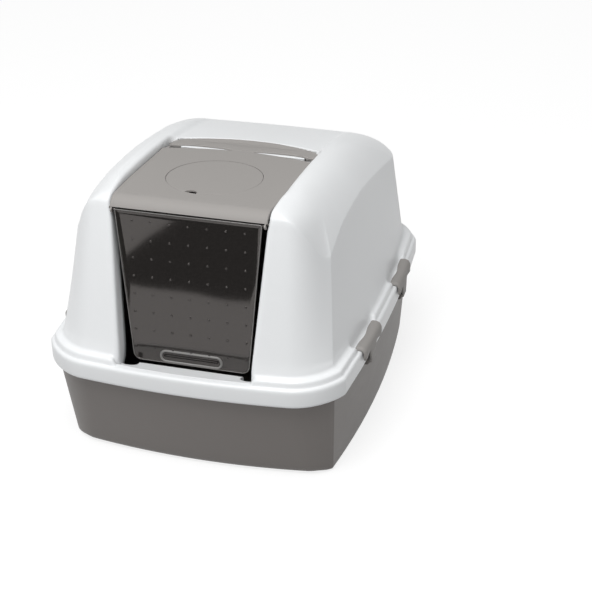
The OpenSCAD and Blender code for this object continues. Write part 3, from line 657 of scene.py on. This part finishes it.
def rail_top(top_row):
    outer, inner, start = rail_rows(top_row)
    n_edge = len(EDGE)
    front = top_row[n_edge:n_edge + OUTER_START + 1]
    rear = top_row[n_edge + OUTER_END:n_edge + len(COLUMNS)][::-1]
    rows = []
    last = len(outer) - 1
    for j in range(last + 1):
        v = j / last
        row = []
        share = (j - start) / (last - start)
        for i in range(n_edge):
            hatch = (rail_x(inner[j]) + EDGE[i][0], inner[j], crest(inner[j]) - EDGE[i][1])
            x = RAIL_X + STEP[i][0]
            y = mix(arc_y(x), rear_y(x), share) if j > start else inner[j]
            step = (x, y, crest(y) - CHANNEL_D * STEP[i][1])
            row.append(step if j >= start else hatch)
        for i in range(len(front)):
            a = i / (len(front) - 1)
            lo, hi = (rail_x(inner[j]) + FIRST, inner[j]), outer[j][:2]
            p = []
            for k in (0, 1):
                corners = mix(front[0][k], front[-1][k], a) * (1 - v) + mix(rear[0][k], rear[-1][k], a) * v
                p.append(mix(front[i][k], rear[i][k], v) + mix(lo[k], hi[k], a) - corners)
            row.append((p[0], p[1], crest(p[1])))
        rows.append(row)
    rows[0] = top_row[:n_edge + OUTER_START + 1]
    rows[-1] = top_row[n_edge + OUTER_END:n_edge + len(COLUMNS) + n_edge][::-1]
    return rows


def channel_floor(top_row):
    outer, _, start = rail_rows(top_row)
    last = len(outer) - 1
    rows = []
    for j in range(start, last + 1):
        share = (j - start) / (last - start)
        xs = [(RAIL_X - STEP_W) * (1 - k / CHANNEL_STEPS) for k in range(CHANNEL_STEPS + 1)]
        ys = [mix(arc_y(x), rear_y(x), share) for x in xs]
        rows.append([(x, y, channel(y)) for x, y in zip(xs, ys)])
    lip = [[(x, y, z - d) for x, y, z in rows[0]] for d in (14.0, 1.0)]
    return lip + rows


def build_sill():
    """Threshold under the door: level in front, then sloping into the pan, with a round relief at each end."""
    front = [(-280.0, 171.0), (-277.5, 171.3), (-278.5, 170.8), (-271.0, 168.8), (-262.0, 166.2),
             (-250.0, 162.4), (-243.0, 160.9), (-240.6, 160.2), (-239.6, 158.6), (-239.6, 149.5)]
    under = [(-242.6, 149.5), (-242.8, 156.8), (-250.5, 159.3), (-262.0, 163.0), (-271.0, 165.6),
             (-278.5, 167.4), (-276.0, 167.8), (-278.5, 167.6)]
    loops = []
    for k in range(25):
        x = (OPEN_HW + 2) * (k / 12 - 1)
        bow = END_BOW * (x / CORNER_HX) ** 2
        loops.append([(x, y + bow * max(0.0, (-y - SILL_BEND_Y) / 32), z) for y, z in front + under])
    sill = loop_piece("sill", loops)
    for side in (-1, 1):
        drill(sill, KEYHOLE_R, side * KEYHOLE_X, KEYHOLE_Y, 120.0, 200.0, 48, sharp=35)
    return sill


def build_pocket():
    """Recess that takes the carrying handle, open at the top."""
    xs = [RAIL_X * (k / 20 - 1) for k in range(41)]
    outline = [(x, arc_y(x)) for x in xs] + [(RAIL_X, POCKET_Y), (-RAIL_X, POCKET_Y)]
    top = [(x, y, POCKET_LIP_Z if y == POCKET_Y else channel(max(40.0, y)) - 0.6) for x, y in outline]
    foot = [(x, y, POCKET_FLOOR + 3) for x, y in outline]
    floor = [(x * 0.995, y + 1.5 if y == POCKET_Y else y - 1.5, POCKET_FLOOR) for x, y in outline]
    pocket = loop_piece("handle_pocket", [top, foot, floor], ends="open", sharp=40)
    pocket.data.flip_normals()
    thicken(pocket, 2.4)
    return join("handle_pocket", [pocket] + [build_land(side) for side in (-1, 1)])


def finger_gap(x):
    """Depth of the finger gap in the handle's front edge."""
    off = (abs(x) - FINGER_X) / FINGER_R
    return FINGER_R * FINGER_FLAT * math.sqrt(max(0.0, 1 - off * off))


def build_land(side):
    """White land of the pocket's front wall, seen through a finger gap, clear of the turning handle."""
    loops = []
    for k in range(25):
        x = FINGER_X + 0.93 * FINGER_R * (k / 12 - 1)
        rear = HANDLE_Y - math.hypot(HANDLE_Y - CHANNEL_FRONT - finger_gap(x), LAND_TOP - HANDLE_Z) - 0.7
        section = [(POCKET_Y - 0.6, 376.0), (POCKET_Y - 0.6, LAND_TOP - 0.6), (POCKET_Y, LAND_TOP),
                   (rear - 0.8, LAND_TOP), (rear, LAND_TOP - 1.0), (rear, 376.0)]
        loops.append([(side * x, y, z) for y, z in section])
    return loop_piece("land", loops, sharp=40)


# ------------------------------------------------ base pan
PAN_COLUMNS = ([("front", f) for f in (0, 0.12, 0.25, 0.38, 0.5, 0.62, 0.74, 0.85, 0.94, 1.0)]
               + [("front_arc", f) for f in (0.1, 0.2, 0.3, 0.4, 0.5, 0.6, 0.7, 0.8, 0.9, 0.96, 0.99)]
               + [("side", f) for f in (0, 0.004, 0.02, 0.06, 0.12, 0.2, 0.28, 0.36, 0.44, 0.52, 0.6, 0.68,
                                        0.76, 0.84, 0.9, 0.95, 0.98, 0.996)]
               + [("rear_arc", f) for f in (0, 0.01, 0.04, 0.1, 0.2, 0.3, 0.4, 0.5, 0.6, 0.7, 0.8, 0.9, 1.0)]
               + [("rear", f) for f in (0.94, 0.85, 0.74, 0.62, 0.5, 0.38, 0.25, 0.12, 0)])


def pan_row(z, sink=0.0):
    """One level of the pan; sink runs 0 to 90 degrees over its lower edge."""
    top = RIM_TOP - SKIRT_H
    row = []
    for zone, f in PAN_COLUMNS:
        share = {"front": 1.0, "rear": 0.7, "side": 0.0}.get(zone)
        if share is None:
            share = ease((1 - f) * 1.6) if zone == "front_arc" else 0.7 * ease(f * 1.6)
        fillet = mix(PAN_SIDE_FILLET, PAN_FRONT_FILLET, share)
        level = fillet * (1 - sind(sink)) if sink > 0 else max(z, fillet)
        depth = max(0.0, (top - level) / top)
        tuck = fillet * (1 - cosd(sink))
        inset = PAN_INSET + tuck
        ring = Ring(RIM_W / 2 - PAN_BOW - inset - PAN_SIDE_TAPER * depth,
                    CORNER_HY - inset - PAN_FRONT_TAPER * depth, CORNER_HY - inset - PAN_BACK_TAPER * depth,
                    mix(PAN_R, PAN_LOW_R, depth) - tuck, PAN_CREASE, PAN_BOW)
        if zone == "side":
            x, y, _ = ring.side_at(f)
        elif zone in ("front", "rear"):
            x, y, _ = ring.end_at(f * ring.reach(), zone == "rear")
        elif zone == "front_arc":
            x, y, _ = ring.corner(mix(90, PAN_CREASE, f))
        else:
            x, y, _ = ring.corner(mix(PAN_CREASE, 90, f), True)
        row.append((x, y, level))
    return row


def build_pan():
    rows = [pan_row(z) for z in (166, 158, 150, 143, 128, 112, 96, 80, 64, 48, 34, 24, 18)]
    rows += [pan_row(0.0, a) for a in (6, 15, 27, 40, 54, 68, 80, 90)]
    foot = rows[-1]
    for s in (0.985, 0.9, 0.75, 0.5, 0.25, 0.0):
        rows.append([(x * s, y * s, PAN_FLOOR_RISE * ease((0.985 - s) * 10)) for x, y, _ in foot])
    pan = grid_piece("pan_tub", [rows], centre=(0, 0, 90))
    return thicken(pan, WALL)


def build_lugs():
    """Knuckles on the pan that carry the clips' pivot pins."""
    pieces = []
    for side in (-1, 1):
        for place in (-1, 1):
            for end in (-1, 1):
                loops = []
                for dy, r in ((-2.0, 3.4), (-1.6, 4.0), (1.6, 4.0), (2.0, 3.4)):
                    y = end * LUG_Y + dy
                    arc = [(r * cosd(a), y, r * sind(a)) for a in range(-90, 91, 15)]
                    loops.append(arc + [(LUG_ROOT, y, r), (LUG_ROOT, y, -r)])
                pieces.append(loop_piece("lug", loops, clip_place(side, place)))
    return join("clip_lugs", pieces)


# ------------------------------------------------ clips
def clip_place(side, place):
    matrix = placed(CLIP_X, CLIP_MID + place * CLIP_PITCH / 2, CLIP_Z, about_z=place * CLIP_TURN)
    return matrix if side > 0 else Matrix.Diagonal((-1, 1, 1, 1)) @ matrix


def build_clip(name, side, place):
    """Saddle-shaped clip: broad ends over the rim, a waist, and a tongue down to the pivot."""
    top = RIM_TOP - CLIP_Z + 0.2
    reach = RIM_W / 2 - SIDE_BOW * (CLIP_PITCH / 2 / CORNER_HY) ** 2
    out = reach - CLIP_X + CLIP_GAP + 0.2
    inner = -(FOOT_INSET - 4 - (reach - CLIP_X))
    n = 36
    loops = []
    for k in range(n + 1):
        s = -1 + 2 * k / n
        y = s * CLIP_L / 2
        waist = ease(1 - abs(s) / 0.62)
        flare = ease((abs(s) - 0.45) / 0.4)
        round_end = math.sqrt(max(0.0, 1 - max(0.0, (abs(s) - 0.93) / 0.07) ** 2))
        tongue = ease((0.36 - abs(s)) / 0.12)
        thick = CLIP_T * mix(0.35, 1.0, round_end)
        lift = 1.2 * flare - 0.5 * waist
        edge = inner + 2.6 * waist + (1 - round_end) * 2.0
        low = mix(top - 13.5 - 2.5 * flare + (1 - round_end) * 3, 1.2, tongue)
        face = out + thick + 0.5 * flare
        loops.append([
            (edge, y, top), (edge, y, top + thick * 0.55), (edge + 1.2, y, top + thick + lift * 0.6),
            (edge + 3.5, y, top + thick + lift),
            (mix(edge, face, 0.5), y, top + thick + 0.4 + lift - 0.8 * waist),
            (face - 3.4, y, top + thick * 0.75 + lift * 0.6), (face - 1.2, y, top - 0.2),
            (face, y, top - 3.2), (face, y, mix(top - 3.2, low, 0.5)), (face - 0.2, y, low + 1.0),
            (face - 1.2, y, low), (out + 0.5, y, low), (out + 0.2, y, mix(low, top, 0.5)),
            (out + 0.1, y, top - 3.0), (out - 3.0, y, top)])
    clip = loop_piece(name, loops, clip_place(side, place))
    knuckle = [[(r * cosd(a), y, r * sind(a)) for a in range(0, 360, 15)]
               for y, r in ((-11.0, 3.6), (-10.4, 4.3), (10.4, 4.3), (11.0, 3.6))]
    web = [[(2.0, y, -3.6), (face_x, y, -1.0), (face_x, y, 4.0), (out + 0.3, y, 4.0), (2.0, y, 1.5)]
           for y, face_x in ((-10.6, out + 3.0), (-10.0, out + 3.4), (10.0, out + 3.4), (10.6, out + 3.0))]
    pin = [[(r * cosd(a), y, r * sind(a)) for a in range(0, 360, 20)] for y, r in ((-15.0, 1.9), (15.0, 1.9))]
    parts = [clip] + [loop_piece("part", loops, clip_place(side, place)) for loops in (knuckle, web, pin)]
    return join(name, parts)


# ------------------------------------------------ hatch, cover and cartridge
HATCH_PLACE = placed(0, HATCH_Y, HATCH_Z, about_x=-HATCH_SLOPE)


def hatch_hw(y):
    return mix(HATCH_FRONT_HW, HATCH_REAR_HW, min(1.0, max(0.0, y / (HATCH_LEN / 3))))


def build_hatch():
    """Plate that rounds over at the front into the lip above the door; all edges are turned down."""
    end = math.degrees(math.asin(1 - LIP_H / NOSE_R))
    start = 180 - end
    profile = [(NOSE_R + (NOSE_R - 1.6) * cosd(start) - 0.2, -NOSE_R + NOSE_R * sind(end) - 0.5, start)]
    for i in range(15):
        a = mix(start, 90, i / 14)
        profile.append((NOSE_R + NOSE_R * cosd(a), -NOSE_R + NOSE_R * sind(a), a))
    profile += [(y, 0.0, 90.0) for y in (26, 34, 45, 58, 72, 90, 110, 130, 150, 170, 188, 202, 212, 220, 226,
                                         229.5, 231.2)]
    profile += [(HATCH_LEN - 0.25, -0.35, 60.0), (HATCH_LEN, -1.1, 10.0), (HATCH_LEN, -4.6, 0.0)]
    sides = [(0.0, 9.0), (0.0, 3.0), (0.25, 1.4), (0.9, 0.5), (2.0, 0.1), (4.5, 0.0)]
    columns = [(1.0, dx, drop) for dx, drop in sides]
    columns += [(f, sides[-1][0] * f, 0.0) for f in (0.9, 0.78, 0.64, 0.5, 0.36, 0.24, 0.12, 0.0)]
    rows = []
    for y, z, a in profile:
        row = []
        for f, dx, drop in columns:
            x = f * hatch_hw(y) - dx
            pull = ease((y - 120) / 112) * HATCH_BOW * (x / HATCH_REAR_HW) ** 2
            squeeze = drop * (0.55 if y < 8 else 1.0)
            row.append((x, y - pull - squeeze * cosd(a) * 0.8, z - squeeze * sind(a)))
        rows.append(row)
    plate = grid_piece("hatch_plate", [rows], centre=(0, 100, -60))
    plate = thicken(plate, HATCH_T - 0.2)
    drill(plate, COVER_R + 0.45, 0.0, COVER_Y, -8.0, 8.0, 128, sharp=42)
    seat = loop_piece("seat", [circle_loop(COVER_R + dr, z, 96, COVER_Y) for dr, z in (
        (-3.0, -2.5), (0.3, -2.5), (3.0, -2.5), (3.0, -5.4), (-3.0, -5.4))], ends="ring", sharp=30)
    arms = []
    hinge = HATCH_PLACE.inverted() @ (Vector((0, HINGE_Y, HINGE_Z)) * MM) / MM
    door = HATCH_PLACE.inverted() @ (Vector((0, DOOR_Y, DOOR_Z)) * MM) / MM
    for s in (-1, 1):
        x = s * (HATCH_REAR_HW - 5)
        side = [(hinge.y - 38, -2.2), (hinge.y - 38, -9.5), (hinge.y - 3, hinge.z - 4)]
        side += [(hinge.y + EAR_R * cosd(a), hinge.z + EAR_R * sind(a)) for a in range(-75, 76, 15)]
        side.append((hinge.y - 10, -2.4))
        arms.append(loop_piece("arm", [[(x + d, y, z) for y, z in side] for d in (-2.0, 2.0)], sharp=40))
        hinge_pin = ((114.0, 2.4), (121.4, 2.4), (121.9, 1.9))
        arms.append(loop_piece("pin", pin_loops(hinge_pin, s, hinge.y, hinge.z), sharp=40))
        ear = [(door.y + EAR_R * cosd(a), door.z + EAR_R * sind(a)) for a in range(-180, 1, 15)]
        ear += [(door.y + EAR_R, -9.0), (door.y + 1.5, -12.5), (door.y - 1.0, -14.0)]
        arms.append(loop_piece("ear", [[(s * px, y, z) for y, z in ear] for px in (110.6, 112.6)], sharp=40))
    hatch = join("hatch_panel", [plate, seat] + arms)
    hatch.data.transform(HATCH_PLACE)
    return hatch


def build_cover():
    profile = [(COVER_R - inset, z) for inset, z in (
        (6.5, -2.2), (6.5, -5.2), (3.6, -5.2), (3.6, -2.25), (0.1, -2.2), (0.0, -1.9), (0.0, -0.8),
        (0.35, -0.22), (1.0, 0.0), (2.0, 0.02), (0.4 * COVER_R, 0.02), (0.75 * COVER_R, 0.02))]
    cover = loop_piece("filter_lid", [circle_loop(r, z, 128) for r, z in profile])
    turn, out = -90 - NOTCH_TURN, COVER_R - 1
    drill(cover, NOTCH_R, out * cosd(turn), out * sind(turn), -12.0, 6.0, 48, sharp=40)
    cover.data.transform(HATCH_PLACE @ placed(0, COVER_Y, 0))
    return cover


# ------------------------------------------------ door
DOOR_PLACE = placed(0, DOOR_Y, DOOR_Z, about_x=-DOOR_TILT)


def door_outline(inset, depth):
    """The door's outline drawn in by inset; depth is negative in front of its middle."""
    low = -DOOR_LEN + inset
    slope = (DOOR_HW - DOOR_LOW_HW) / (DOOR_LEN + DOOR_TOP - DOOR_CORNER_R)

    def edge(z):
        return DOOR_LOW_HW + slope * (z + DOOR_LEN - DOOR_CORNER_R) - inset

    r = max(DOOR_CORNER_R - inset, 2.0)
    top_r = max(2.5 - inset, 0.4)
    points = []
    top = DOOR_TOP - inset
    for a in range(0, 91, 10):
        points.append((edge(top) - top_r + top_r * cosd(a), top - top_r + top_r * sind(a)))
    corner = edge(low + r)
    points += [(-x, z) for x, z in reversed(points)]
    for a in range(180, 271, 10):
        points.append((-corner + r + r * cosd(a), low + r + r * sind(a)))
    for a in range(270, 361, 10):
        points.append((corner - r + r * cosd(a), low + r + r * sind(a)))
    return [(x, depth, z) for x, z in points]


def slot_outline(length, height, depth, z):
    points = []
    for a in range(-90, 91, 12):
        points.append(((length - height) / 2 + height / 2 * cosd(a), height / 2 * sind(a)))
    points += [(-x, -y) for x, y in points]
    return [(x, depth, z + y) for x, y in points]


def build_door():
    t = DOOR_T / 2
    panel = loop_piece("door_panel", [door_outline(i, d) for i, d in (
        (6.0, t), (0.8, t), (0.25, t - 0.2), (0.0, t - 0.7), (0.0, -t - 0.3), (0.25, -t - 0.8), (0.9, -t - 1),
        (1.6, -t - 1.0), (2.1, -t - 0.8), (2.5, -t - 0.15), (3.0, -t), (9.0, -t))], DOOR_PLACE)
    z = -DOOR_LEN + PULL_UP
    # Edge strip along the outline; it and the pull's rim take the lighter grey finish, a painted highlight.
    edge = loop_piece("door_edge", [door_outline(i, d) for i, d in (
        (0.25, -t - 0.7), (0.5, -t - 1.05), (1.0, -t - 1.15), (1.4, -t - 1.05), (1.6, -t - 0.9))], DOOR_PLACE,
        ends="ring")
    pull = loop_piece("pull_rim", [slot_outline(PULL_L + 2 * g, PULL_H + 2 * g, d, z) for g, d in (
        (1.6, -t + 0.2), (1.2, -t - 0.7), (0.5, -t - 1.5), (-0.4, -t - 1.8), (-1.3, -t - 1.5), (-2.0, -t - 0.6),
        (-2.2, -t + 0.2), (-3.0, -t + 0.4))], DOOR_PLACE)
    door_pin = ((103.5, 1.2), (104.0, 1.95), (113.0, 1.95), (113.4, 1.5))
    pins = [loop_piece("pin", pin_loops(door_pin, s), DOOR_PLACE) for s in (-1, 1)]
    return join("door_panel", [panel] + pins), join("door_highlight_edges", [edge, pull])


def build_pull():
    """Floor of the finger pull in near-black, painted shade, with the step that the fingertips catch on."""
    face, z = -DOOR_T / 2, -DOOR_LEN + PULL_UP
    floor = loop_piece("pull_floor", [slot_outline(PULL_L - g, PULL_H - g, d, z) for g, d in (
        (3.6, face + 0.3), (3.6, face - 0.15), (5.0, face - 0.15), (5.6, face + 0.2))], DOOR_PLACE)
    step = loop_piece("pull_step", [slot_outline(PULL_L - g, PULL_STEP_H - g / 4, face + d, z + 1) for g, d in (
        (10.0, 0.1), (10.4, -1.0), (11.2, -1.3), (12.4, -1.0), (12.8, 0.1))], DOOR_PLACE)
    return join("door_pull", [floor, step])


PIP_PITCH, PIP_COLUMNS, PIP_ROWS, PIP_R, PIP_RISE, PIP_FIRST = 27.5, 7, 8, 1.9, 0.6, -14.0


def pip_tree(material):
    """A grid of low domes, with named inputs for the pitch, the counts and the dome's radius."""
    tree = bpy.data.node_groups.new("pips", "GeometryNodeTree")
    inputs = {}
    for name, kind, value in (
            ("Pitch", "NodeSocketFloat", PIP_PITCH * MM), ("Columns", "NodeSocketInt", PIP_COLUMNS),
            ("Rows", "NodeSocketInt", PIP_ROWS), ("Radius", "NodeSocketFloat", PIP_R * MM)):
        socket = tree.interface.new_socket(name, in_out="INPUT", socket_type=kind)
        socket.default_value = value
        inputs[name] = socket.identifier
    tree.interface.new_socket("Geometry", in_out="OUTPUT", socket_type="NodeSocketGeometry")

    def node(kind, settings, values):
        made = tree.nodes.new(kind)
        for key, value in settings.items():
            setattr(made, key, value)
        for key, value in values.items():
            if hasattr(value, "is_output"):
                tree.links.new(value, made.inputs[key])
            else:
                made.inputs[key].default_value = value
        return made

    given = node("NodeGroupInput", {}, {})

    def span(count):
        less = node("ShaderNodeMath", {"operation": "SUBTRACT"}, {0: given.outputs[count], 1: 1.0})
        pitches = {0: less.outputs[0], 1: given.outputs["Pitch"]}
        return node("ShaderNodeMath", {"operation": "MULTIPLY"}, pitches).outputs[0]

    grid = node("GeometryNodeMeshGrid", {}, {
        "Size X": span("Columns"), "Size Y": span("Rows"), "Vertices X": given.outputs["Columns"],
        "Vertices Y": given.outputs["Rows"]})
    dome = node("GeometryNodeMeshUVSphere", {}, {"Segments": 12, "Rings": 6, "Radius": given.outputs["Radius"]})
    copies = node("GeometryNodeInstanceOnPoints", {}, {
        "Points": grid.outputs["Mesh"], "Instance": dome.outputs["Mesh"], "Scale": (1.0, 1.0, PIP_RISE)})
    real = node("GeometryNodeRealizeInstances", {}, {"Geometry": copies.outputs[0]})
    painted = node("GeometryNodeSetMaterial", {}, {"Geometry": real.outputs[0], "Material": material})
    end = tree.nodes.new("NodeGroupOutput")
    tree.links.new(painted.outputs[0], end.inputs[0])
    return tree, inputs


def build_pips(material):
    tree, inputs = pip_tree(material)
    obj = bpy.data.objects.new("door_pips", bpy.data.meshes.new("door_pips"))
    bpy.context.scene.collection.objects.link(obj)
    modifier = obj.modifiers.new("pips", "NODES")
    modifier.node_group = tree
    modifier[inputs["Pitch"]] = PIP_PITCH * MM
    modifier[inputs["Radius"]] = PIP_R * MM
    plain_mesh(obj)
    middle = PIP_FIRST - PIP_PITCH * (PIP_ROWS - 1) / 2
    obj.data.transform(DOOR_PLACE @ placed(0, -DOOR_T / 2, middle, about_x=90))
    obj.data.shade_smooth()
    return obj


# ------------------------------------------------ carrying handle
def build_handle():
    """Crescent grip: level with the hatch, a shallow dish in its top, finger gaps in its front edge."""
    xs = [HANDLE_HW * (-1 + 2 * k / 72) for k in range(73)]
    rows = []
    steps = ((0.0, -5.5), (0.0, -1.4), (0.01, -0.5), (0.03, -0.1), (0.07, 0.0), (0.2, 0.0), (0.34, 0.0),
             (0.46, 0.0), (0.56, 0.0), (0.66, 0.0), (0.76, 0.0), (0.86, 0.0), (0.94, 0.0), (0.975, -0.12),
             (0.993, -0.5), (1.0, -1.4), (1.0, -5.5))
    for x in xs:
        front, rear = CHANNEL_FRONT + finger_gap(x) - HANDLE_Y, arc_y(x, 0.0) - HANDLE_Y
        end = math.sqrt(max(0.0, 1 - max(0.0, (abs(x) / HANDLE_HW - 0.985) / 0.015) ** 2))
        top = GRIP_TOP - 1.2 * (1 - end)
        row = []
        for v, dz in steps:
            lens = max(0.0, 1 - (x / DISH_HW) ** 2 - ((v - 0.68) / 0.24) ** 2)
            row.append((x, mix(front, rear, v), top + dz - DISH_DEPTH * ease(lens * 2.2)))
        rows.append(row)
    caps = [[(x, y, min(z, -0.5)) for x, y, z in row] for row in (rows[0], rows[-1])]
    rows = caps[:1] + rows + caps[1:]
    grip = grid_piece("handle_grip", [rows], centre=(0, 20, -40), mirrored=False)
    grip = thicken(grip, 2.2)
    handle_pin = ((106.0, 3.0), (106.3, 4.6), (115.2, 4.6), (115.6, 2.9), (121.6, 2.9), (122.0, 2.4))
    pins = [loop_piece("pin", pin_loops(handle_pin, s), sharp=40) for s in (-1, 1)]
    handle = join("handle_grip", [grip] + pins)
    handle.data.transform(placed(0, HANDLE_Y, HANDLE_Z, about_x=-GRIP_SLOPE))
    return handle


# ------------------------------------------------ stage, lamps and camera
WHITE = (1.0, 1.0, 1.0)
FLOOR_BOUNCE, FLOOR_SHADOW, FLOOR_GLOW, WORLD_FILL = 0.40, 0.27, 0.8, 0.42


def build_camera():
    forward = Vector((-sind(YAW) * cosd(PITCH), cosd(YAW) * cosd(PITCH), -sind(PITCH)))
    level = Vector((cosd(YAW), sind(YAW), 0))
    up = level.cross(forward)
    right = level * cosd(ROLL) + up * sind(ROLL)
    top = up * cosd(ROLL) - level * sind(ROLL)
    data = bpy.data.cameras.new("camera")
    data.sensor_width = data.sensor_height = SENSOR
    data.sensor_fit = "HORIZONTAL"
    data.lens = SENSOR * LENS_PX / FRAME_PX
    data.shift_x = (FRAME_PX / 2 - CENTRE_PX[0]) / FRAME_PX
    data.shift_y = (CENTRE_PX[1] - FRAME_PX / 2) / FRAME_PX
    data.clip_end = 50
    camera = bpy.data.objects.new("camera", data)
    matrix = Matrix((right, top, -forward)).transposed().to_4x4()
    matrix.translation = Vector(EYE) * MM
    camera.matrix_world = matrix
    bpy.context.scene.collection.objects.link(camera)
    bpy.context.scene.camera = camera


def stage_sheet(name, material, z, corners):
    """A flat sheet of the stage, through corners in metres."""
    bm = bmesh.new()
    bm.faces.new([bm.verts.new((x, y, z)) for x, y in corners])
    sheet = finish_mesh(name, bm)
    sheet.data.materials.append(material)


def build_floor():
    """Paper floor: glowing white where it is looked at or mirrored, plain where it lights the object."""
    f = Finish("paper_floor")
    plain, lit = (f.node("BsdfDiffuse", {}, [rgb(WHITE, tone)]) for tone in (FLOOR_BOUNCE, FLOOR_SHADOW))
    glow = f.node("Emission", {}, [rgb(WHITE), FLOOR_GLOW])
    seen = (f.ray("Is Camera Ray") + f.ray("Is Glossy Ray") + f.ray("Is Transmission Ray")).clamped()
    paper = f.close(f.node("MixShader", {}, [seen, plain, f.node("AddShader", {}, [lit, glow])]))
    size = 6.0
    stage_sheet("floor", paper, 0.0, [(-size, -size), (size, -size), (size, size), (-size, size)])


def build_dark_card():
    """Dark card on the floor before the box, which only reflections see."""
    f = Finish("dark_card")
    clear, dark = f.node("BsdfTransparent", {}, []), f.node("Emission", {}, [rgb(WHITE), 0.0])
    card = f.close(f.node("MixShader", {}, [f.ray("Is Glossy Ray"), clear, dark]))
    stage_sheet("dark_card", card, 0.002, [(-0.46, -0.95), (2.5, -0.80), (2.5, -5.5), (-0.50, -5.5)])


def lamp(name, place, aim, size, power):
    data = bpy.data.lights.new(name, "AREA")
    data.shape = "DISK"
    data.size = size
    data.energy = power
    obj = bpy.data.objects.new(name, data)
    obj.location = place
    obj.rotation_euler = (Vector(aim) - Vector(place)).to_track_quat("-Z", "Y").to_euler()
    bpy.context.scene.collection.objects.link(obj)


def build_light():
    f = Finish("studio", world=True)
    fill, back = (f.node("Background", {}, [rgb(WHITE), strength]) for strength in (WORLD_FILL, 1.0))
    bpy.context.scene.world = f.close(f.node("MixShader", {}, [f.ray("Is Camera Ray"), fill, back]))
    lamp("overhead", (0.0, -1.35, 2.9), (0, 0, 0.2), 1.8, 66)
    lamp("front_fill", (-1.2, -2.8, 1.3), (0, 0, 0.2), 1.6, 8)


# ------------------------------------------------ everything together
def build_object():
    finish = make_materials()
    hood = thicken(grid_piece("hood_shell", hood_shell()), WALL)
    for piece in (hood, build_sill(), build_pocket()):
        dress(piece, finish["hood"], "shell", "hood_white", "hood")
    for piece in (build_pan(), build_lugs()):
        dress(piece, finish["pan"], "shell", "pan_grey", "base_pan")
    dress(build_hatch(), finish["trim"], "hatch", "trim_grey", "hatch")
    dress(build_cover(), finish["trim"], "filter_cover", "trim_grey", "filter_cover")
    panel, edges = build_door()
    dress(panel, finish["smoke"], "swing_door", "smoke", "swing_door")
    # Edge strip and pull rim: painted highlight in a lighter grey.
    dress(edges, finish["edge"], "swing_door", "smoke", "swing_door")
    # The pull's floor is painted shade.
    dress(build_pull(), finish["shade"], "swing_door", "smoke", "swing_door")
    dress(build_pips(finish["smoke"]), finish["smoke"], "swing_door", "smoke", "swing_door")
    dress(build_handle(), finish["trim"], "carry_handle", "trim_grey", "carry_handle")
    for name, side, place in (("clip_front_right", 1, -1), ("clip_rear_right", 1, 1),
                              ("clip_front_left", -1, -1), ("clip_rear_left", -1, 1)):
        dress(build_clip(name + "_saddle", side, place), finish["trim"], name, "trim_grey", name)
    for node, key in (("filter_cage", "trim"), ("filter_frame", "frame"),
                      ("carbon_pad", "carbon"), ("zeolite_pad", "zeolite")):
        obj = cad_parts[node]
        for slot in obj.material_slots:
            slot.material = finish[key]


build_camera()
build_floor()
build_dark_card()
build_light()
build_object()
bpy.context.scene.view_settings.view_transform = "Standard"
